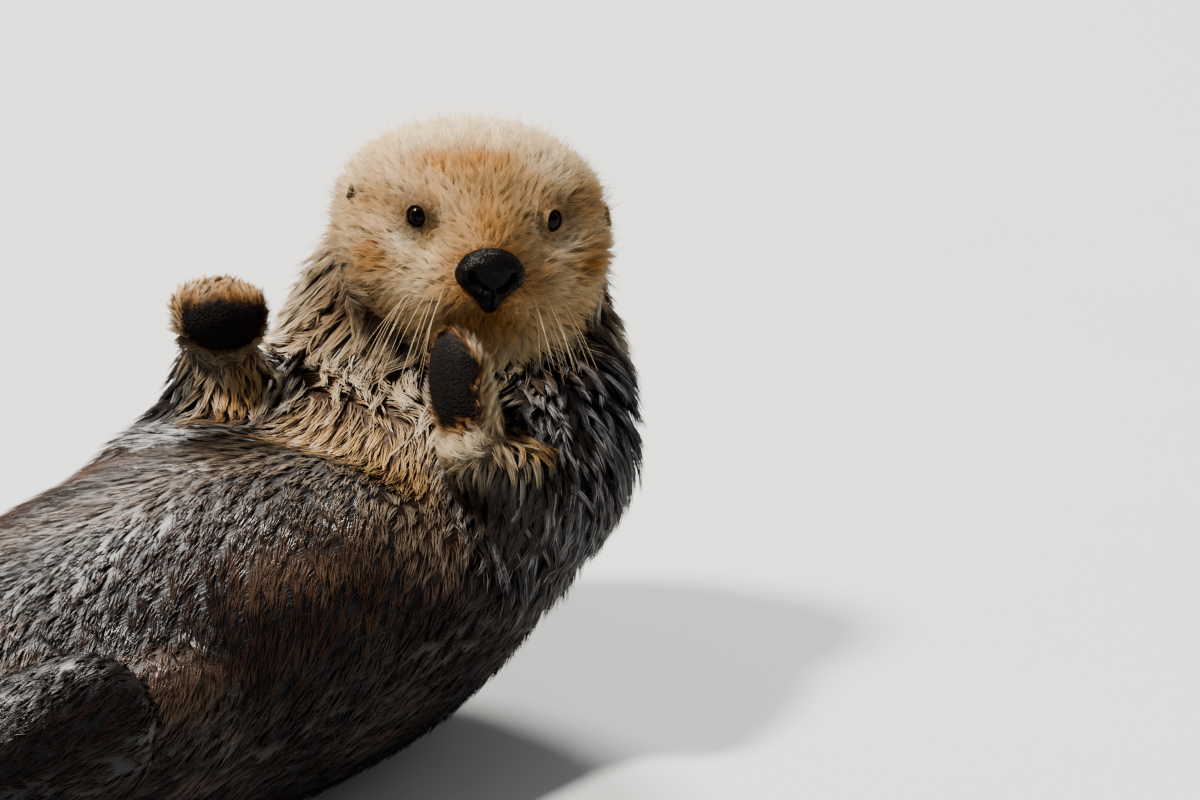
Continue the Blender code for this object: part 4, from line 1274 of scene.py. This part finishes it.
def ear_cup(side, material):
    """An ear: a rolled cup with a thin rim, open to the front."""
    node = f"ear_{side}"
    mesh, surface = resculpted(node, 0.0008, 8)
    local = surface.points - surface.points.mean(0)
    length = np.linalg.svd(local, full_matrices=False)[2][0]
    length = length * np.sign(length @ HEAD_AXES[:, 2])
    ahead = -HEAD_AXES[:, 1] + HEAD_AXES[:, 0] * SIDES[side] * 0.9 - HEAD_AXES[:, 2] * 0.2
    ahead = unit(ahead - length * (ahead @ length))
    wide = np.cross(length, ahead)
    across, up = (local @ wide) / EAR_HOLLOW_WIDE, (local @ length - EAR_HOLLOW_RISE) / EAR_HOLLOW_TALL
    hollow = np.exp(-(across**4) - up**4) * smoothstep(0.0, 0.4, surface.normals() @ ahead)
    surface.points = surface.points - ahead * (hollow * EAR_HOLLOW_DEEP)[:, None]
    surface.points = surface.spread(surface.points, 2)
    set_points(mesh, surface.points)
    # the ear's hollow, which its hide darkens as painted shade
    add_values(mesh, "hollow", hollow)
    shown_for(mesh, f"{node}_cup", "ear", material, node)
    return surface, hollow, length


def ear_coat(side, surface, hollow, length, layout, material):
    """Short fur over the back and rim of an ear, darker at its edge."""
    draw = np.random.default_rng(41 + SIDES[side])
    roots = Rooting(surface, 1.3e7 * (1 - 0.9 * hollow), draw)
    facing = unit(roots.take(surface.normals()))
    run = unit(facing * 0.7 + length + draw.normal(0, 0.25, (roots.count, 3)))
    reach = draw.uniform(0.0022, 0.0042, roots.count)[:, None]
    paths = np.stack([roots.points - facing * 0.0004, roots.points + run * reach], 1)
    rise = smoothstep(0.002, 0.009, (roots.points - surface.points.mean(0)) @ length)
    tip = mix(mix(PALE, TAN, draw.random(roots.count)), UMBER, 0.9 * rise)
    tufts(
        f"coat_ear_{side}", "ear", material, paths, np.stack([facing, facing], 1),
        draw.uniform(0.00022, 0.00036, roots.count), 0.9, tip * 0.45, tip, np.full(roots.count, 0.8),
        layout, draw,
    )


# ---------------------------------------------------------------- whiskers and claws
def spines(name, slot, material, paths, radii, sides=6):
    """Many tapered round spines as one mesh: paths is (n, k, 3), radii (n, k)."""
    count, rings = radii.shape
    run = unit(np.gradient(paths, axis=1))
    side = unit(np.cross(run, np.array((0.31, 0.12, 0.94))))
    rise = np.cross(side, run)
    turn = np.linspace(0, 2 * math.pi, sides, endpoint=False)
    ring = side[:, :, None] * np.cos(turn)[:, None] + rise[:, :, None] * np.sin(turn)[:, None]
    points = (paths[:, :, None] + ring * radii[:, :, None, None]).reshape(-1, 3)
    faces = []
    for number in range(count):
        base = number * rings * sides
        for k in range(rings - 1):
            low, high = base + k * sides, base + (k + 1) * sides
            for j in range(sides):
                ahead = (j + 1) % sides
                faces.append((low + j, low + ahead, high + ahead, high + j))
        faces.append(tuple(base + sides - 1 - j for j in range(sides)))
        faces.append(tuple(base + (rings - 1) * sides + j for j in range(sides)))
    mesh = bpy.data.meshes.new(name)
    mesh.from_pydata(points.tolist(), [], faces)
    add_values(mesh, "far", np.tile(np.repeat(np.linspace(0, 1, rings), sides), count))
    mesh.shade_smooth()
    shown(mesh, slot, material)


WHISKER_RADII = (0.00019, 0.00014, 0.00006)  # at its root, past its middle and at its tip
CLAW_RADII = (0.0021, 0.0016, 0.0004)  # at its root, at its middle and at its tip
CLAW_REACH, CLAW_BEND, CLAW_BED = 0.009, 0.003, 0.004  # how far out, down and back into the toe it runs


def whisker_paths(tree, draw):
    """Rows of stiff whiskers on both pads, bowing out and down, with a few over each brow."""
    paths, radii = [], []
    steps = np.linspace(0, 1, 12)
    rows = [
        (-0.040 - 0.0060 * row, 0.027 + 0.0060 * k + 0.0015 * row, row, k)
        for row in range(4)
        for k in range(4)
    ]
    for sign in SIDES.values():
        starts = [(x * sign, z, row, k) for z, x, row, k in rows]
        starts += [((0.034 + 0.005 * k) * sign, 0.018 + 0.001 * k, -1, k) for k in range(3)]
        for x, z, row, k in starts:
            x, z = x + draw.normal(0, 0.0012), z + draw.normal(0, 0.0012)
            spot = tree.ray_cast(Vector(from_head((x, -0.10, z))), Vector(HEAD_AXES[:, 1]))[0]
            if spot is None:
                continue
            brow = row < 0
            length = 0.014 + 0.003 * k if brow else 0.036 + 0.0050 * k + draw.uniform(-0.008, 0.010)
            aim = (sign * (0.30 + 0.08 * k), -0.55 + 0.06 * k, 0.55 if brow else -0.62 - 0.08 * row)
            aim = HEAD_AXES @ unit(np.array(aim) + draw.normal(0, 0.09, 3))
            bow = HEAD_AXES @ np.array((sign * 0.04, 0.26, 0.0)) + np.array((0, 0, -0.50))
            arc = aim[None] * (length * steps)[:, None] + bow[None] * (length * 0.75 * steps**2)[:, None]
            paths.append(np.array(spot)[None] - aim * 0.001 + arc)
            radii.append(np.interp(steps, (0, 0.6, 1), WHISKER_RADII) * (0.6 if brow else 1))
    return np.array(paths), np.array(radii)


def toe_ends(side):
    """The tip of each toe of a hind foot and the way the toe points."""
    points = np.array([v.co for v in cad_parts[f"hind_flipper_{side}"].data.vertices])
    centre = points.mean(0)
    long, wide, _ = np.linalg.svd(points - centre, full_matrices=False)[2]
    heel = np.array(middle(f"hind_leg_{side}"))
    long = long * np.sign(long @ (centre - heel))
    x, y = (points - centre) @ long, (points - centre) @ wide
    pivot = x.min() + 0.018
    near = x < x.min() + 0.05
    y = y - y[near].mean()
    angle, reach = np.arctan2(y, x - pivot), np.hypot(x - pivot, y)
    outer = reach > 0.55 * reach.max()
    low, high = angle[outer].min(), angle[outer].max()
    margin = (high - low) * 0.06
    tips = []
    for aim in np.linspace(low + margin, high - margin, 5):
        band = np.flatnonzero((np.abs(angle - aim) < math.radians(4)) & outer)
        far = band[np.argsort(reach[band])[-4:]]
        tips.append((points[far].mean(0), unit(long * math.cos(aim) + wide * math.sin(aim))))
    return tips


def claw_paths():
    """A short curved claw on each hind toe."""
    paths, steps = [], np.linspace(0, 1, 7)
    for side in SIDES:
        for tip, aim in toe_ends(side):
            curl = np.array((0, 0, -1.0))
            arc = aim[None] * (CLAW_REACH * steps)[:, None] + curl[None] * (CLAW_BEND * steps**2)[:, None]
            paths.append(tip[None] - aim * CLAW_BED + arc)
    radii = np.interp(steps, (0, 0.5, 1), CLAW_RADII)
    return np.array(paths), np.tile(radii, (len(paths), 1))


# ---------------------------------------------------------------- the model
def finish_skin(mesh, fields, material):
    """Gives the skin its colours and the fields that its material reads."""
    # the skin takes its coat's root colour darkened: painted shade under the coat
    add_colours(mesh, "coat_colour", np.clip(fields["root"] * 0.85, 0, 1))
    add_values(mesh, "pads", np.maximum(fields["palms"], fields["lips"] * 0.8))
    add_values(mesh, "damp", fields["wet"] * (1 - 0.7 * fields["palms"]))
    shown_for(mesh, "skin", "pelt", material, *FLESH)


# Each kind of hair: how rough it is, how uneven in tone, and how much light it lets through. The slick
# kind, on the body, has a film of water in patches.
FURS = {
    "dry_fur": dict(gloss=0.70, strength=0.10, glow=0.35, Specular_IOR_Level=0.10),
    "wet_fur": dict(gloss=0.36, strength=0.18, glow=0.16, Specular_IOR_Level=0.4),
    "slick_fur": dict(
        gloss=0.32, strength=0.25, glow=0.0, patches=24.0, wet=0.30, Specular_IOR_Level=0.08,
        Coat_Roughness=0.08,
    ),
    "paw_fur": dict(gloss=0.60, strength=0.12, glow=0.25, Specular_IOR_Level=0.3),
}


def build_otter():
    """Makes every material and every piece."""
    tone, streaks, pebbles = tone_group(), streak_group(), pebble_group()
    furs = {name: fur_material(name, tone, **settings) for name, settings in FURS.items()}
    mesh, surface, fields, sockets = build_skin()
    layout = Unwrap(mesh)
    grow_coats(surface, fields, layout, furs)
    finish_skin(mesh, fields, skin_material(tone, streaks, pebbles))
    ball = eye_material()
    for side in SIDES:
        eyeball(side, sockets[side], ball)
    leather = hide_material(
        "nose_leather", pebbles, NOSE_HIDE, NOSE_SHADE, scale=640.0, depth=0.0005, Specular_IOR_Level=0.14
    )
    nose_pad(leather)
    ear_hide = hide_material(
        "ear_hide", pebbles, EAR_HIDE, EAR_SHADE, scale=500.0, depth=0.0003, Specular_IOR_Level=0.2
    )
    for side in SIDES:
        ear_coat(side, *ear_cup(side, ear_hide), layout, furs["dry_fur"])
    tree = BVHTree.FromPolygons(surface.points.tolist(), surface.triangles.tolist())
    draw = np.random.default_rng(31)
    whisker = strand_material("whisker", *WHISKER_ENDS, Specular_IOR_Level=0.3)
    spines("whiskers", "face", whisker, *whisker_paths(tree, draw))
    horn = strand_material("claw_horn", *CLAW_ENDS, Specular_IOR_Level=0.5)
    spines("hind_claws", "flipper", horn, *claw_paths(), sides=10)


# ---------------------------------------------------------------- studio
VIEW_BACK = Vector((0.5785, -0.7405, 0.3420))  # from the otter to the camera
VIEW_RIGHT = Vector((0.788, 0.616, 0))
VIEW_UP = Vector((-0.2106, 0.2695, 0.9397))
DISTANCE, LENS = 4.5, 218.8  # metres from what it looks at, and millimetres of focal length
AIM_RIGHT, AIM_DOWN = 0.0719, 0.1129  # from between the eyes to the middle of the view
FLOOR_HALF = 60.0
KEY = 8, 5.7, (1.0, 0.945, 0.87)  # each light's spread in degrees, its power and colour
RIM = 16, 4.4, (1.0, 0.96, 0.90)
FILL = 50, 0.35, (0.94, 0.97, 1.0)
WORLD_LIGHT, WORLD_SEEN = 0.32, 0.95  # how bright the surroundings shine, and how bright they look


def soft_light(name, offset, spread, power, colour):
    """A broad even light from far off in the direction of offset; spread is how wide it looks."""
    light = bpy.data.lights.new(name, "SUN")
    light.angle, light.energy, light.color = math.radians(spread), power, colour
    lamp = bpy.data.objects.new(name, light)
    lamp.location = offset
    lamp.rotation_euler = (-offset).to_track_quat("-Z", "Y").to_euler()
    bpy.context.scene.collection.objects.link(lamp)
    return lamp


def set_camera():
    """The camera looks down over the belly; the middle of its view lies beside and below the face."""
    eyes = (EYES["left"] + EYES["right"]) / 2
    aim = eyes + VIEW_RIGHT * AIM_RIGHT - VIEW_UP * AIM_DOWN
    lens = bpy.data.cameras.new("camera")
    lens.lens, lens.sensor_width, lens.clip_end = LENS, 36, 200
    camera = bpy.data.objects.new("camera", lens)
    camera.matrix_world = Matrix.Translation(aim + VIEW_BACK.normalized() * DISTANCE) @ Matrix(
        (VIEW_RIGHT, VIEW_UP, VIEW_BACK)
    ).transposed().to_4x4()
    bpy.context.scene.collection.objects.link(camera)
    bpy.context.scene.camera = camera


def light_studio():
    """A warm key from the upper left, a rim light from behind and a weak fill, in pale surroundings."""
    flat_back = Vector((VIEW_BACK.x, VIEW_BACK.y, 0)).normalized()
    up = Vector((0, 0, 1))
    soft_light("key", VIEW_RIGHT * -1.2 + up * 2.2 + flat_back * 0.5, *KEY)
    soft_light("rim", VIEW_RIGHT * -0.4 + up * 1.9 - flat_back * 2.2, *RIM)
    fill = soft_light("fill", VIEW_RIGHT * 1.6 + up * 1.3 + flat_back * 2.0, *FILL)
    fill.visible_glossy = False
    bpy.context.scene.view_settings.look = "AgX - Medium High Contrast"
    world = bpy.data.worlds.new("studio")
    world.use_nodes = True
    sky = world.node_tree.nodes["Background"]
    sky.inputs["Color"].default_value = (0.93, 0.935, 0.94, 1)
    add, link = links(world)
    seen, strength = add("LightPath"), add("MapRange", To_Min=WORLD_LIGHT, To_Max=WORLD_SEEN)
    link(seen.outputs["Is Camera Ray"], strength.inputs["Value"])
    link(strength.outputs["Result"], sky.inputs["Strength"])
    bpy.context.scene.world = world


def lay_floor():
    """A floor so wide that its edge shows only from close to its own level."""
    mesh = bpy.data.meshes.new("floor")
    corners = [(x * FLOOR_HALF, y * FLOOR_HALF, 0) for x, y in ((-1, -1), (1, -1), (1, 1), (-1, 1))]
    mesh.from_pydata(corners, [], [(0, 1, 2, 3)])
    mesh.materials.append(floor_material())
    floor = bpy.data.objects.new("floor", mesh)
    bpy.context.scene.collection.objects.link(floor)


build_otter()
set_camera()
light_studio()
lay_floor()
